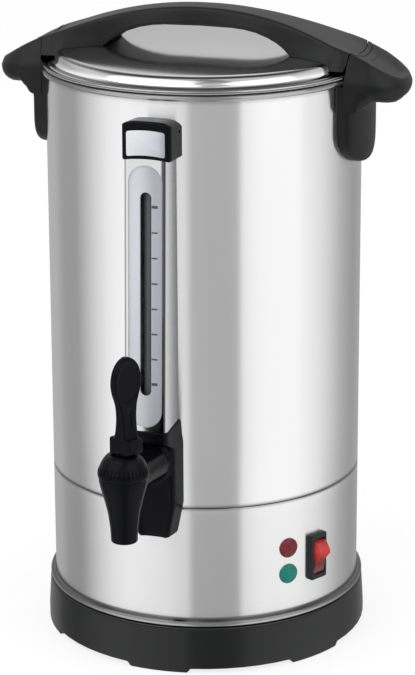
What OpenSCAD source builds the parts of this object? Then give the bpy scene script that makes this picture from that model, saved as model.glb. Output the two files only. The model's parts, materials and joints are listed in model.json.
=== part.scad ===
// Hot water urn with a level gauge, a lever tap and a twist-on lid.
// Origin: axis of the steel body on the plane it stands on. The tap points to -Y, +Z is up.

/* [Body] */
// Outer radius of the steel body
body_r = 100; // [95:0.5:106]
// Thickness of the steel sheet
sheet_t = 0.8; // [0.7:0.05:1]
// Height of the base ring
base_h = 30.5; // [29:0.5:36]
// Height of the lower housing, from the base ring up to the seam
housing_h = 79.5; // [76:0.5:90]
// Height of the tank, from the seam up to the rim
tank_h = 263.3; // [245:0.5:300]
// How far the rolled beads stand out past the body
bead_out = 3.5; // [3:0.1:4.5]
// Radius of the rolled rim bead
rim_bead_r = 2; // [1.8:0.1:2.2]
// Radius of the rolled bead at the foot of the lower housing
foot_bead_r = 2.5; // [2:0.1:3]
// Height of the tank floor below the seam
floor_drop = 6; // [5:0.5:10]
// Thickness of the joint line at the seam
seam_gap = 0.25; // [0.2:0.05:0.5]

/* [Base ring] */
// How far the base ring flares out below the body's bead
base_flare = 1.3; // [0.5:0.1:2]
// Wall of the base ring
base_wall = 3; // [2.5:0.1:4]
// Height of the gap between the feet
foot_h = 2.7; // [2:0.1:4]
// Width of a foot, in degrees round the ring
foot_angle = 22; // [16:1:28]
// Width of the floor flange of the base ring
flange_w = 9; // [7:0.5:12]
// Width of the shelf that carries the housing
shelf_w = 20; // [19:0.5:24]
// Height of the collar that centres the housing
collar_h = 11; // [6:0.5:14]
// Thickness of the bottom cover
cover_t = 1.5; // [1:0.1:2]

/* [Lid] */
// Height of the lid's step
lid_step_h = 7; // [5:0.5:9]
// Rise of the lid's dome above the step
dome_h = 3; // [2:0.25:6]
// Width of the flat lid border
lid_border = 7; // [6:0.25:8]
// Width of the lid's step
lid_step_w = 5; // [4:0.25:6]
// Depth of the lid's plug inside the tank
plug_h = 12; // [8:0.5:16]
// Thickness of the seal's lip on the rim
seal_lip_t = 0.6; // [0.5:0.1:1]

/* [Handles] */
// Height of the bridge handle's crown above the rim
crown_h = 36.7; // [34:0.5:44]
// Drop of the crown line over the span of the handles
crown_drop = 32; // [28:0.5:34]
// Thickness of the bridge handle in the middle
bridge_t = 12; // [9:0.5:14]
// Half length of the finger gap under the bridge handle
finger_gap = 62; // [55:0.5:66]
// How far a side handle reaches out past the body
ear_reach = 33.5; // [30:0.5:37]
// Half width of the side handles
ear_half_w = 31; // [27:0.5:33]
// Depth of a side handle's underside below the rim
ear_drop = 16.3; // [13:0.1:18]
// Thickness of the tongue on the body
tongue_t = 9; // [7:0.5:11]
// Length of the tongue below the rim
tongue_h = 56.3; // [50:0.5:70]
// Radius of the tongue's round end
tongue_r = 38.9; // [35:0.5:46]

/* [Level gauge] */
// Distance from the body to the front of the gauge
gauge_out = 15; // [14.5:0.1:17]
// Half width of the gauge's front
gauge_half_w = 13.7; // [13.2:0.1:15]
// Half width of the window
window_half_w = 10.8; // [10:0.1:11.4]
// Width of the slot in front of the sight tube
slot_w = 7.2; // [6:0.1:8]
// Offset of the slot from the middle of the gauge
slot_x = -1; // [-2:0.1:0]
// Outer radius of the sight tube
tube_r = 3.8; // [3.5:0.1:4]
// Wall of the sight tube
tube_wall = 1; // [0.8:0.1:1.2]
// Height of the sight tube's fitting above the tap
fitting_up = 31; // [29:0.5:36]
// Height of the lowest mark above the tap
mark_up = 52.6; // [46:0.2:60]
// Distance between two marks, one half litre
mark_pitch = 15.8; // [14:0.1:18]
// Number of marks
mark_count = 8; // [6:1:8]
// Height of the gauge cap
cap_h = 24.5; // [24:0.5:30]
// Distance from the rim down to the gauge cap
cap_down = 12.3; // [11:0.5:16]
// How far the cap stands out past the gauge
cap_out = 2.3; // [2:0.1:3]
// How far the gauge's foot leans out, in degrees
gauge_lean = 2; // [0:0.1:3]

/* [Tap] */
// Height of the tap's shank above the seam
tap_up = 34; // [30:0.5:40]
// Distance from the body to the spout's axis
tap_reach = 65; // [60:0.5:75]
// Outer radius of the spout at its mouth
spout_r = 8.1; // [7.8:0.1:9]
// Radius of the water way through the spout
outlet_r = 5.5; // [5:0.1:6]
// Height of the tap body below its cap
tap_body_h = 41.8; // [38:0.2:46]
// Outer radius of the tap body at its cap
tap_r = 15.2; // [14.5:0.1:17]
// Height of the domed cap
bonnet_h = 13.9; // [12.5:0.1:18]
// Radius of the shank where it goes through the tank
shank_r = 8; // [7.5:0.1:9]
// Half width of the block behind the tap
block_half_w = 17; // [16:0.5:19]
// How far the block stands out from the body
block_out = 12; // [10:0.5:14]
// Radius of the valve stem
stem_r = 3; // [2.6:0.1:3.2]
// Turn of the lever about the spout's axis
lever_turn = -28; // [-90:1:90]
// Height of the lever's paddle top above the tap's cap
lever_h = 60.8; // [56:0.2:70]
// Half width of the paddle
paddle_half_w = 10; // [9:0.1:12]
// Thickness of the paddle
paddle_t = 4.8; // [4:0.1:7]

/* [Controls] */
// Direction of the lamps, in degrees from the front towards +X
lamp_angle = 48.75; // [40:0.25:52]
// Height of the upper lamp above the base ring
lamp_up = 47.4; // [42:0.5:52]
// Distance between the two lamps
lamp_pitch = 17.5; // [15:0.5:20]
// Radius of a lamp's lens
lens_r = 6.5; // [6:0.1:7]
// Direction of the switch, in degrees from the front towards +X
switch_angle = 61.8; // [58:0.2:75]
// Height of the switch's middle above the base ring
switch_up = 37; // [34:0.5:42]
// Width of the switch's frame
switch_w = 15; // [14:0.1:16.5]
// Height of the switch's frame
switch_h = 34; // [31:0.5:36]
// How far the switch's frame stands out
switch_out = 4.5; // [3.5:0.1:5.5]
// Travel of the rocker, in degrees
rocker_travel = 28; // [20:1:30]
// Radius of the cord gland's bore
cord_r = 3.6; // [3:0.1:4.2]
// Height of the cord gland above the base ring
gland_up = 30; // [24:0.5:36]

/* [Heater] */
// Radius of the heater plate
plate_r = 62; // [58:1:68]
// Thickness of the heater plate
plate_t = 4; // [3.5:0.1:5]
// Radius of the element's ring
element_r = 48; // [44:0.5:52]
// Radius of the element's tube
element_tube_r = 4; // [3.5:0.1:4.5]

/* [Hidden] */
$fn = 72;

// clearances
fit_gap = 0.1;
move_gap = 0.3;
running_gap = 0.05;
skin_gap = 0.15;
pilot_gap = 0.05;

// heights
seam_z = base_h + housing_h;
rim_z = seam_z + tank_h;
floor_z = seam_z - floor_drop;
tap_z = seam_z + tap_up;

// radii of the body and the base ring
body_in_r = body_r - sheet_t;
bead_r = body_r + bead_out;
base_out_r = bead_r + base_flare;
base_in_r = body_r - flange_w + 1;
shelf_r = body_r - shelf_w;
wall_in_r = base_out_r - base_wall;
seat_w = 3;
base_edge = 1.5;
flare_z = 9;
base_floor_t = 2.5;
collar_t = 2.5;
foot_count = 6;
boss_r = 4;
boss_circle = base_in_r - 6;
cover_z = 4.5;
base_screw_r = 1.5;
screw_head_h = 2.1;

// lid
lid_gap = 0.2;
lid_z = rim_z + lid_gap + seal_lip_t + lid_gap;
lid_r = bead_r - 0.8;
lid_edge_t = 1.6;
lid_groove_r = lid_r - 3.7;
step_r = body_r - lid_border + 2.5;
dome_r = step_r - lid_step_w;
step_z = lid_z + lid_edge_t + 0.5;
dome_z = step_z + lid_step_h - 1.4;
plug_r = step_r - 0.1;
seal_in_r = plug_r + move_gap;
seal_out_r = body_in_r - move_gap;
lid_screw_x = 77;
lid_screw_y = 10;
lid_screw_r = 1.8;

// handles
crown_z = rim_z + crown_h;
crown_ref = body_r + 16;
crown_r = (pow(crown_ref, 2) + pow(crown_drop, 2)) / (2 * crown_drop);
part_r = lid_r + 0.6;
ear_z = rim_z - ear_drop;
nose_r = 39;
ear_sweep = [[9.5, 0], [4.5, 3], [1.5, 8.5], [-5, 13]];
nose_x = body_r + ear_reach - nose_r;
handle_top_half = 24.5;
handle_screw_z = [rim_z - 27, rim_z - 45];
handle_screw_r = 2;
washer_r = 5.5;
washer_t = 1.2;
washer_face = sqrt(pow(body_in_r, 2) - pow(washer_r, 2)) - running_gap;

// gauge
fitting_z = tap_z + fitting_up;
tube_y = -(body_r + 5.6);
gauge_front = -(body_r + gauge_out);
gauge_low_z = tap_z + 22.1;
gauge_slant = 3.8;
gauge_deep = gauge_front - 10;
cap_z = rim_z - cap_down - cap_h - 1;
cover_top_z = cap_z + 8;
window_z = gauge_low_z + 3;
window_top_z = cap_z - 3;
slot_z = [mark_up + tap_z - 7.7, cap_z - 19.6];
plate_y = gauge_front + sheet_t + fit_gap;
scale_t = 1;
mark_x = slot_w / 2 + 2.1;
mark_w = 3.6;
mark_line = 0.9;
elbow_r = tube_r + 1.6;
elbow_y = tube_y - (cap_z - fitting_z) * sin(gauge_lean);
grommet_r = tube_r + 0.75;
nipple_r = 4;
tube_top_z = cap_z + 5;
cap_top_z = cap_z + cap_h;
cap_half = gauge_half_w + 2;
cap_foot_half = gauge_half_w + 3.4;
cap_pocket_h = 9;
cap_screw_z = cap_z + 15;
badge_seat = 0.4;

// tap
tap_y = -(body_r + tap_reach);
spout_z = tap_z - 32.5;
tap_seam_z = spout_z + tap_body_h;
bonnet_z = tap_seam_z + bonnet_h;
chamber_r = tap_r - 4.1;
tap_curve = [
    [0, 0], [0.04, 0.155], [0.13, 0.3], [0.25, 0.44], [0.41, 0.56],
    [0.59, 0.68], [0.77, 0.79], [0.91, 0.885], [0.98, 0.955], [1, 1]
];
bonnet_curve = [
    [0, 0], [0.5, 0.08], [0.4, 0.25], [-0.3, 0.38], [-1.5, 0.6], [-3.2, 0.79], [-5, 0.93], [-6.7, 1]
];
seat_z = spout_z + 18;
block_z = tap_z + 20;
block_low_z = tap_z - 50.3;
lip_y = gauge_front - 6;
lip_z = tap_z + 12.8;
lever_foot_z = bonnet_z + move_gap;
pin_z = bonnet_z + 2.8;
pin_r = 1.2;
heel_front = 11.2;
heel_back = 6.2;
heel_h = 10.8;
heel_rise = 2.5;
heel_half_w = 5.75;
stem_slot_back = 1.6;
stem_slot_front = 2.3;
paddle_top_z = bonnet_z + lever_h;
paddle_half_h = 16;
paddle_x = 3;
spring_wire = 0.5;
spring_r = 5.4;
spring_top_z = tap_seam_z + 8 - spring_wire - fit_gap;
shank_boss_r = shank_r + 4;

// controls
lamp_z = [base_h + lamp_up, base_h + lamp_up - lamp_pitch];
switch_z = base_h + switch_up;
switch_body_w = switch_w - 2.8;
switch_body_h = switch_h - 4.6;
rocker_half_h = switch_body_h / 2 - 1.2;
rocker_half_w = switch_body_w / 2 - 1.3;
rocker_y = -(body_r - 0.5);
gland_z = base_h + gland_up;
plate_z = floor_z - sheet_t - plate_t;
element_z = plate_z - 1;
wire_r = 1.2;
lamp_depth = 22;
control_x = 26;
block_y = 50;

// colours
steel = "silver";
black = [0.16, 0.17, 0.17];
brass = "goldenrod";
silicone = "gainsboro";

// ---------- helpers ----------

module tube(r_out, r_in, z0, z1) {
    translate([0, 0, z0])
        difference() {
            cylinder(r = r_out, h = z1 - z0, $fn = 144);
            translate([0, 0, -1]) cylinder(r = r_in, h = z1 - z0 + 2, $fn = 144);
        }
}

module along_x(r, x0, x1, y, z) {
    translate([x0, y, z]) rotate([0, 90, 0]) cylinder(r = r, h = x1 - x0);
}

module along_y(r, y0, y1, x, z) {
    translate([x, y0, z]) rotate([-90, 0, 0]) cylinder(r = r, h = y1 - y0);
}

module nut_along_y(r, y0, y1, x, z) {
    translate([x, y0, z]) rotate([-90, 0, 0]) cylinder(r = r, h = y1 - y0, $fn = 6);
}

module box(lo, hi) {
    translate(lo) cube(hi - lo);
}

// An outline given in X and Z, made solid from y0 to y1
module slab_y(y0, y1) {
    translate([0, y1, 0]) rotate([90, 0, 0]) linear_extrude(height = y1 - y0) children();
}

// An outline given in Y and Z, made solid from x0 to x1
module slab_x(x0, x1) {
    translate([x0, 0, 0]) rotate([90, 0, 90]) linear_extrude(height = x1 - x0) children();
}

// A face at the front, turned round the body to its direction
module towards(angle) {
    rotate([0, 0, angle]) children();
}

module obround(half_w, z0, z1) {
    translate([-half_w, z0 + half_w]) square([2 * half_w, z1 - z0 - 2 * half_w]);
    translate([0, z0 + half_w]) circle(r = half_w);
    translate([0, z1 - half_w]) circle(r = half_w);
}

// Round wire through a list of points; every second stretch wears a thin sleeve
module wire(points, r) {
    for (i = [0 : len(points) - 2]) {
        step = points[i + 1] - points[i];
        length = norm(step);
        first = i == 0 ? 0 : r;
        last = i == len(points) - 2 ? 0 : r;
        translate(points[i])
            rotate([0, acos(step.z / length), atan2(step.y, step.x)])
                translate([0, 0, -first])
                    cylinder(r = r + (i % 2) * 0.15, h = length + first + last, $fn = 24);
    }
}

// ---------- body ----------

module tank() {
    collar_r = body_in_r - fit_gap;
    color(steel) {
        difference() {
            union() {
                rotate_extrude($fn = 144) {
                    polygon([
                        [0, floor_z - sheet_t], [collar_r, floor_z - sheet_t],
                        [collar_r, seam_z], [body_r, seam_z],
                        [body_r, rim_z - 0.6], [body_in_r, rim_z - 0.6],
                        [body_in_r, seam_z + sheet_t], [collar_r - sheet_t, seam_z + sheet_t],
                        [collar_r - sheet_t, floor_z], [0, floor_z]
                    ]);
                    translate([bead_r - rim_bead_r, rim_z - rim_bead_r])
                        circle(r = rim_bead_r, $fn = 32);
                }
                translate([0, 0, plate_z - 10]) cylinder(r = 3, h = 10 + plate_t + sheet_t / 2);
            }
            along_y(shank_r + fit_gap, -body_r - 2, -body_r + 3, 0, tap_z);
            along_y(nipple_r + fit_gap, -body_r - 2, -body_r + 3, slot_x, fitting_z);
            along_y(handle_screw_r + fit_gap, -body_r - 2, -body_r + 3, 0, cap_screw_z);
            for (side = [-1, 1], z = handle_screw_z)
                along_x(handle_screw_r + fit_gap, side * body_r - 3, side * body_r + 3, 0, z);
        }
    }
}

module lower_housing() {
    color(steel)
        difference() {
            union() {
                tube(body_r, body_in_r, base_h, seam_z - seam_gap);
                rotate_extrude($fn = 144)
                    difference() {
                        translate([bead_r - foot_bead_r, base_h + foot_bead_r])
                            circle(r = foot_bead_r, $fn = 32);
                        square([body_in_r, base_h + 3 * foot_bead_r]);
                    }
            }
            towards(switch_angle)
                box([-switch_body_w / 2 - fit_gap, -body_r - 2, switch_z - switch_body_h / 2 - fit_gap],
                    [switch_body_w / 2 + fit_gap, -body_r + 3, switch_z + switch_body_h / 2 + fit_gap]);
            towards(lamp_angle)
                for (z = lamp_z) along_y(lens_r - 1.2, -body_r - 2, -body_r + 3, 0, z);
            along_y(8.2, body_r - 3, body_r + 2, 0, gland_z);
        }
}

module base_ring() {
    color(black)
        difference() {
            union() {
                rotate_extrude($fn = 144)
                    polygon([
                        [base_in_r, 0], [base_in_r + seat_w, 0], [base_in_r + seat_w, foot_h],
                        [base_out_r - base_edge, foot_h],
                        [base_out_r, foot_h + base_edge], [base_out_r, flare_z],
                        [bead_r, base_h], [shelf_r, base_h], [shelf_r, base_h - base_floor_t],
                        [wall_in_r, base_h - base_floor_t], [wall_in_r, foot_h + base_floor_t],
                        [base_in_r, foot_h + base_floor_t]
                    ]);
                tube(body_in_r - move_gap, body_in_r - move_gap - collar_t, base_h - 1,
                     base_h + collar_h);
                for (k = [0 : foot_count - 1])
                    rotate([0, 0, -90 - foot_angle / 2 + k * 360 / foot_count])
                        rotate_extrude(angle = foot_angle, $fn = 144)
                            translate([base_in_r + seat_w / 2, 0])
                                square([base_out_r - base_in_r - seat_w / 2 - skin_gap, foot_h + 2]);
                for (k = [0 : 2])
                    rotate([0, 0, 60 + 120 * k])
                        translate([boss_circle, 0, cover_z + cover_t])
                            cylinder(r = boss_r, h = base_h - cover_z - cover_t - 1);
            }
            for (k = [0 : 2])
                rotate([0, 0, 60 + 120 * k])
                    translate([boss_circle, 0, cover_z])
                        cylinder(r = base_screw_r + pilot_gap, h = 14);
        }
}

module base_cover() {
    color("dimgray")
        difference() {
            translate([0, 0, cover_z]) cylinder(r = base_in_r - move_gap, h = cover_t, $fn = 144);
            for (k = [0 : 2])
                rotate([0, 0, 60 + 120 * k])
                    translate([boss_circle, 0, cover_z - 1]) cylinder(r = base_screw_r + 0.3, h = 4);
            for (k = [0 : 5], row = [0 : 2])
                rotate([0, 0, 60 * k + 30])
                    translate([30 + 8 * row, -8, cover_z - 1]) cube([3, 16, 4]);
        }
}

module base_screws() {
    color(steel)
        for (k = [0 : 2])
            rotate([0, 0, 60 + 120 * k])
                translate([boss_circle, 0, cover_z - screw_head_h])
                    difference() {
                        union() {
                            cylinder(r = 3.2, h = screw_head_h);
                            cylinder(r = base_screw_r, h = screw_head_h + 12);
                        }
                        translate([-0.5, -2.5, -0.1]) cube([1, 5, 0.9]);
                        translate([-2.5, -0.5, -0.1]) cube([5, 1, 0.9]);
                    }
}

// ---------- lid ----------

// Height of the lid's outer face over its dome
function dome_height(r) = dome_z + dome_h * (1 - pow(r / dome_r, 2));

function lid_outline(t) = concat(
    [for (i = [0 : 10]) [dome_r * i / 10 - t * 0.1 * i / 10, dome_height(dome_r * i / 10) - t]],
    [[dome_r + 1.6 - t * 0.5, dome_z - 1 - t * 0.8], [step_r - 1 - t, step_z + 1.2 - t * 0.4],
     [step_r - t, step_z - t]]
);

module lid_profile() {
    outer = lid_outline(0);
    inner = lid_outline(sheet_t);
    polygon(concat(
        outer, [[lid_groove_r, lid_z + 0.8], [lid_groove_r + 1.2, lid_z + lid_edge_t],
                [lid_r - 0.6, lid_z + lid_edge_t], [lid_r, lid_z + lid_edge_t / 2],
                [lid_r - 0.5, lid_z], [step_r - sheet_t / 2, lid_z]],
        [for (i = [len(inner) - 1 : -1 : 0]) inner[i]]
    ));
}

module lid_shell() {
    color(steel)
        difference() {
            union() {
                rotate_extrude($fn = 144) lid_profile();
                tube(plug_r, plug_r - sheet_t, rim_z - plug_h, lid_z + 1);
            }
            for (x = [-lid_screw_x, lid_screw_x], y = [-lid_screw_y, lid_screw_y])
                translate([x, y, dome_z - 5]) cylinder(r = lid_screw_r + fit_gap, h = 15);
        }
}

module lid_seal() {
    lip_z = rim_z + lid_gap;
    color(silicone)
        rotate_extrude($fn = 144)
            polygon([
                [seal_in_r, rim_z - plug_h + 2], [seal_out_r - 1, rim_z - plug_h + 2],
                [seal_out_r, rim_z - plug_h + 5], [seal_out_r, lip_z], [body_r + 1.5, lip_z],
                [body_r + 1.5, lip_z + seal_lip_t], [seal_in_r, lip_z + seal_lip_t]
            ]);
}

// The crown line: a round arch over the urn from nose to nose
module under_crown(y_half) {
    slab_y(-y_half, y_half)
        translate([0, crown_z - crown_r]) circle(r = crown_r, $fn = 180);
}

// Half widths of the handles at their foot, from the middle to an ear
module plan_outline() {
    half = [
        [0, 12], [finger_gap - 8, 17], [finger_gap + 14, 24], [body_r - 10, ear_half_w],
        [body_r + 18, ear_half_w], [body_r + ear_reach, ear_half_w]
    ];
    last = len(half) - 1;
    polygon(concat(
        [for (p = half) p],
        [for (i = [last : -1 : 0]) [half[i].x, -half[i].y]],
        [for (i = [1 : last]) [-half[i].x, -half[i].y]],
        [for (i = [last : -1 : 1]) [-half[i].x, half[i].y]]
    ));
}

// Sides that lean in towards the crown
module leaning_sides(x0, x1) {
    slab_x(x0, x1)
        polygon([
            [-ear_half_w, rim_z - tongue_h - 1], [ear_half_w, rim_z - tongue_h - 1],
            [ear_half_w, rim_z - 3], [handle_top_half, rim_z + 20], [handle_top_half, crown_z + 1],
            [-handle_top_half, crown_z + 1], [-handle_top_half, rim_z + 20], [-ear_half_w, rim_z - 3]
        ]);
}

module lid_handle() {
    foot_z = lid_z + lid_edge_t + 0.3;
    color(black)
        difference() {
            intersection() {
                under_crown(ear_half_w + 1);
                translate([0, 0, foot_z]) linear_extrude(height = crown_z - foot_z) plan_outline();
                leaning_sides(-body_r - 10, body_r + 10);
                translate([0, 0, foot_z - 1])
                    cylinder(r = lid_r, h = crown_z - foot_z + 2, $fn = 144);
            }
            intersection() {
                slab_y(-50, 50)
                    polygon([
                        [-finger_gap - 6, foot_z - 2], [finger_gap + 6, foot_z - 2],
                        [finger_gap, dome_z + 6], [finger_gap - 12, crown_z - bridge_t + 1],
                        [-finger_gap + 12, crown_z - bridge_t + 1], [-finger_gap, dome_z + 6]
                    ]);
                slab_y(-49, 49)
                    translate([0, crown_z - crown_r]) circle(r = crown_r - bridge_t, $fn = 180);
            }
            rotate_extrude($fn = 144)
                polygon(concat(
                    [[0, foot_z - 3]],
                    [for (p = lid_outline(0)) p + [0, running_gap]],
                    [[step_r, foot_z - 3]]
                ));
            for (x = [-lid_screw_x, lid_screw_x], y = [-lid_screw_y, lid_screw_y])
                translate([x, y, dome_z - 5])
                    cylinder(r = lid_screw_r + pilot_gap, h = 14);
        }
}

module lid_screws() {
    head_z = dome_height(lid_screw_x + 5) - sheet_t - 2.5;
    color(steel)
        for (x = [-lid_screw_x, lid_screw_x], y = [-lid_screw_y, lid_screw_y])
            translate([x, y, head_z]) {
                cylinder(r = 3.5, h = 2.2);
                cylinder(r = lid_screw_r, h = 10.5);
            }
}

// ---------- side handles ----------

module side_handle() {
    color(black)
        difference() {
            union() {
                intersection() {
                    under_crown(ear_half_w + 1);
                    translate([0, 0, ear_z])
                        linear_extrude(height = crown_z - ear_z) plan_outline();
                    leaning_sides(body_r - 20, body_r + ear_reach + 5);
                    translate([nose_x, 0, ear_z - 1]) cylinder(r = nose_r, h = crown_h + ear_drop + 2);
                }
                intersection() {
                    tube(body_r + tongue_t, body_r - 5, rim_z - tongue_h, ear_z + 2);
                    union() {
                        along_x(tongue_r, body_r - 60, body_r + 20, 0, rim_z - tongue_h + tongue_r);
                        box([body_r - 60, -ear_half_w, rim_z - tongue_h + tongue_r],
                            [body_r + 20, ear_half_w, rim_z]);
                    }
                    box([body_r - 60, -ear_half_w, rim_z - tongue_h - 1],
                        [body_r + 20, ear_half_w, rim_z]);
                }
            }
            translate([0, 0, rim_z - tongue_h - 5])
                cylinder(r = body_r + skin_gap, h = tongue_h + 1, $fn = 144);
            translate([0, 0, rim_z - 2 * rim_bead_r - move_gap])
                cylinder(r = part_r, h = crown_h + 20, $fn = 144);
            translate([0, 0, rim_z - 2 * rim_bead_r - move_gap])
                cylinder(r = bead_r + move_gap, h = 2 * rim_bead_r + 2 * move_gap, $fn = 144);
            slab_y(-50, 50)
                polygon(concat(
                    [[body_r + 20, ear_z], [body_r + 20, ear_z - 2], [body_r + ear_reach + 5, ear_z - 2]],
                    [for (k = [3 : -1 : 0]) [body_r + ear_reach - ear_sweep[k][0], ear_z + ear_sweep[k][1]]]
                ));
            for (z = handle_screw_z)
                along_x(handle_screw_r + pilot_gap, body_r - 5, body_r + tongue_t - 2, 0, z);
        }
}

module right_handle() {
    side_handle();
}

module left_handle() {
    rotate([0, 0, 180]) side_handle();
}

module handle_screws() {
    color(steel)
        for (turn = [0, 180], z = handle_screw_z)
            rotate([0, 0, turn]) {
                along_x(4, washer_face - washer_t - 2.6, washer_face - washer_t, 0, z);
                along_x(handle_screw_r, washer_face - washer_t - 2, body_r + tongue_t - 3, 0, z);
            }
}

module handle_washers() {
    color(silicone)
        for (turn = [0, 180], z = handle_screw_z)
            rotate([0, 0, turn])
                difference() {
                    along_x(washer_r, washer_face - washer_t, washer_face, 0, z);
                    along_x(handle_screw_r + running_gap, washer_face - 5, washer_face + 5, 0, z);
                }
}

// ---------- level gauge ----------

// Puts a gauge part in its place: it leans about the foot of the cap
module on_gauge() {
    translate([slot_x, gauge_front, cap_z]) rotate([-gauge_lean, 0, 0])
        translate([0, -gauge_front, -cap_z]) children();
}

module channel_plan(inset) {
    front = gauge_front + inset;
    flare = 1;
    polygon([
        [-gauge_half_w + inset, front], [gauge_half_w - inset, front],
        [gauge_half_w + flare - inset, -body_r + 10], [-gauge_half_w - flare + inset, -body_r + 10]
    ]);
}

module gauge_cover() {
    color(steel)
        difference() {
            intersection() {
                on_gauge() linear_extrude(height = cover_top_z + 2) channel_plan(0);
                slab_x(-20, 20)
                    polygon([
                        [gauge_deep, gauge_low_z], [-body_r + 5, gauge_low_z + gauge_slant],
                        [-body_r + 5, cover_top_z], [gauge_deep, cover_top_z]
                    ]);
            }
            on_gauge() {
                translate([0, 0, -1]) linear_extrude(height = cover_top_z + 5) channel_plan(sheet_t);
                slab_y(gauge_front - 2, gauge_front + 3) obround(window_half_w, window_z, window_top_z);
            }
            cylinder(r = body_r + skin_gap, h = rim_z, $fn = 144);
        }
}

module scale_plate() {
    half = gauge_half_w - sheet_t - fit_gap;
    color([0.74, 0.74, 0.82])
        on_gauge() difference() {
            box([-half, plate_y, gauge_low_z + 2], [half, plate_y + scale_t, cover_top_z - 0.1]);
            slab_y(plate_y - 1, plate_y + scale_t + 1) obround(slot_w / 2, slot_z[0], slot_z[1]);
            for (k = [0 : mark_count - 1])
                box([mark_x - mark_w / 2, plate_y - 1, tap_z + mark_up + mark_pitch * k - mark_line / 2],
                    [mark_x + mark_w / 2, plate_y + 0.3, tap_z + mark_up + mark_pitch * k + mark_line / 2]);
        }
}

module sight_tube() {
    color([0.8, 0.85, 0.9, 0.5])
        on_gauge() translate([0, tube_y, 0])
            tube(tube_r, tube_r - tube_wall, fitting_z + 4, tube_top_z);
}

module tube_grommets() {
    color("dimgray")
        on_gauge() translate([0, tube_y, 0]) {
            tube(grommet_r, tube_r + running_gap, fitting_z + 6, fitting_z + 10);
            tube(grommet_r, tube_r + running_gap, cap_z + 1, cap_z + 4);
        }
}

module gauge_elbow() {
    color("whitesmoke")
        difference() {
            union() {
                on_gauge() translate([0, tube_y, fitting_z - 6]) cylinder(r = elbow_r, h = 16);
                along_y(nipple_r, elbow_y, -body_r + 14, slot_x, fitting_z);
            }
            on_gauge() translate([0, tube_y, fitting_z]) {
                cylinder(r = tube_r - tube_wall, h = 20);
                translate([0, 0, 4]) cylinder(r = tube_r + running_gap, h = 20);
                translate([0, 0, 6]) cylinder(r = grommet_r + running_gap, h = 20);
            }
            along_y(2.2, elbow_y, -body_r + 15, slot_x, fitting_z);
        }
}

module gauge_seal() {
    face = -sqrt(pow(body_in_r, 2) - pow(8, 2)) + running_gap;
    color(silicone)
        difference() {
            along_y(7, face, face + 1.5, slot_x, fitting_z);
            along_y(nipple_r + running_gap, face - 1, face + 3, slot_x, fitting_z);
        }
}

module gauge_nut() {
    face = -sqrt(pow(body_in_r, 2) - pow(8, 2)) + running_gap + 1.5;
    color(steel)
        difference() {
            nut_along_y(8, face, face + 4, slot_x, fitting_z);
            along_y(nipple_r + running_gap, face - 1, face + 5, slot_x, fitting_z);
        }
}

module gauge_cap() {
    front = gauge_front - cap_out;
    color(black)
        difference() {
            intersection() {
                translate([0, 0, cap_z]) linear_extrude(height = cap_h)
                    polygon([
                        [-cap_foot_half, -body_r + 4], [-cap_half, front + 6],
                        [-cap_half + 0.8, front + 1.5], [-cap_half + 2.4, front], [cap_half - 2.4, front],
                        [cap_half - 0.8, front + 1.5], [cap_half, front + 6], [cap_foot_half, -body_r + 4]
                    ]);
                slab_y(front - 1, -body_r + 5)
                    polygon([
                        [-cap_foot_half, cap_z], [cap_foot_half, cap_z], [cap_foot_half, cap_top_z - 7],
                        [cap_half, cap_top_z - 3.5], [cap_half - 3.5, cap_top_z - 1], [0, cap_top_z],
                        [-cap_half + 3.5, cap_top_z - 1], [-cap_half, cap_top_z - 3.5],
                        [-cap_foot_half, cap_top_z - 7]
                    ]);
                slab_x(-cap_foot_half, cap_foot_half)
                    polygon([
                        [front, cap_z], [-body_r + 4, cap_z], [-body_r + 4, cap_top_z - 2.6],
                        [front + 1.2, cap_top_z], [front, cap_top_z - 1.2]
                    ]);
            }
            on_gauge() {
                difference() {
                    translate([0, 0, cap_z - 1]) linear_extrude(height = cap_pocket_h + 1)
                        channel_plan(-move_gap);
                    translate([0, tube_y, cap_z]) cylinder(r = grommet_r + 1.2, h = cap_h);
                }
                translate([0, tube_y, cap_z - 1])
                    cylinder(r = grommet_r + running_gap, h = tube_top_z - cap_z + 1 + move_gap);
            }
            cylinder(r = body_r + skin_gap, h = rim_z, $fn = 144);
            slab_y(front - 1, front + badge_seat) badge_outline(running_gap);
            along_y(handle_screw_r + pilot_gap, -body_r - 9, -body_r + 3, 0, cap_screw_z);
            along_x(1.2, gauge_half_w - 6, gauge_half_w + 8, -body_r - 2.5, cap_z + 16);
        }
}

module badge_outline(gap) {
    translate([-12.2 - gap, cap_z + 2.8 - gap]) square([24.4 + 2 * gap, 14.7 + 2 * gap]);
}

module badge_plate() {
    front = gauge_front - cap_out;
    color("lightgray") slab_y(front - 0.2, front + badge_seat) badge_outline(0);
}

module cap_screw() {
    face = -(washer_face - washer_t);
    color(steel) {
        along_y(4, face, face + 2.6, 0, cap_screw_z);
        along_y(handle_screw_r, -body_r - 8, face + 2, 0, cap_screw_z);
    }
}

// ---------- tap ----------

// Height of the block's top, which follows the foot of the gauge cover
function block_top(y) =
    gauge_low_z - 0.4 + gauge_slant * (y - gauge_deep) / (-body_r + 5 - gauge_deep);

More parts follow.
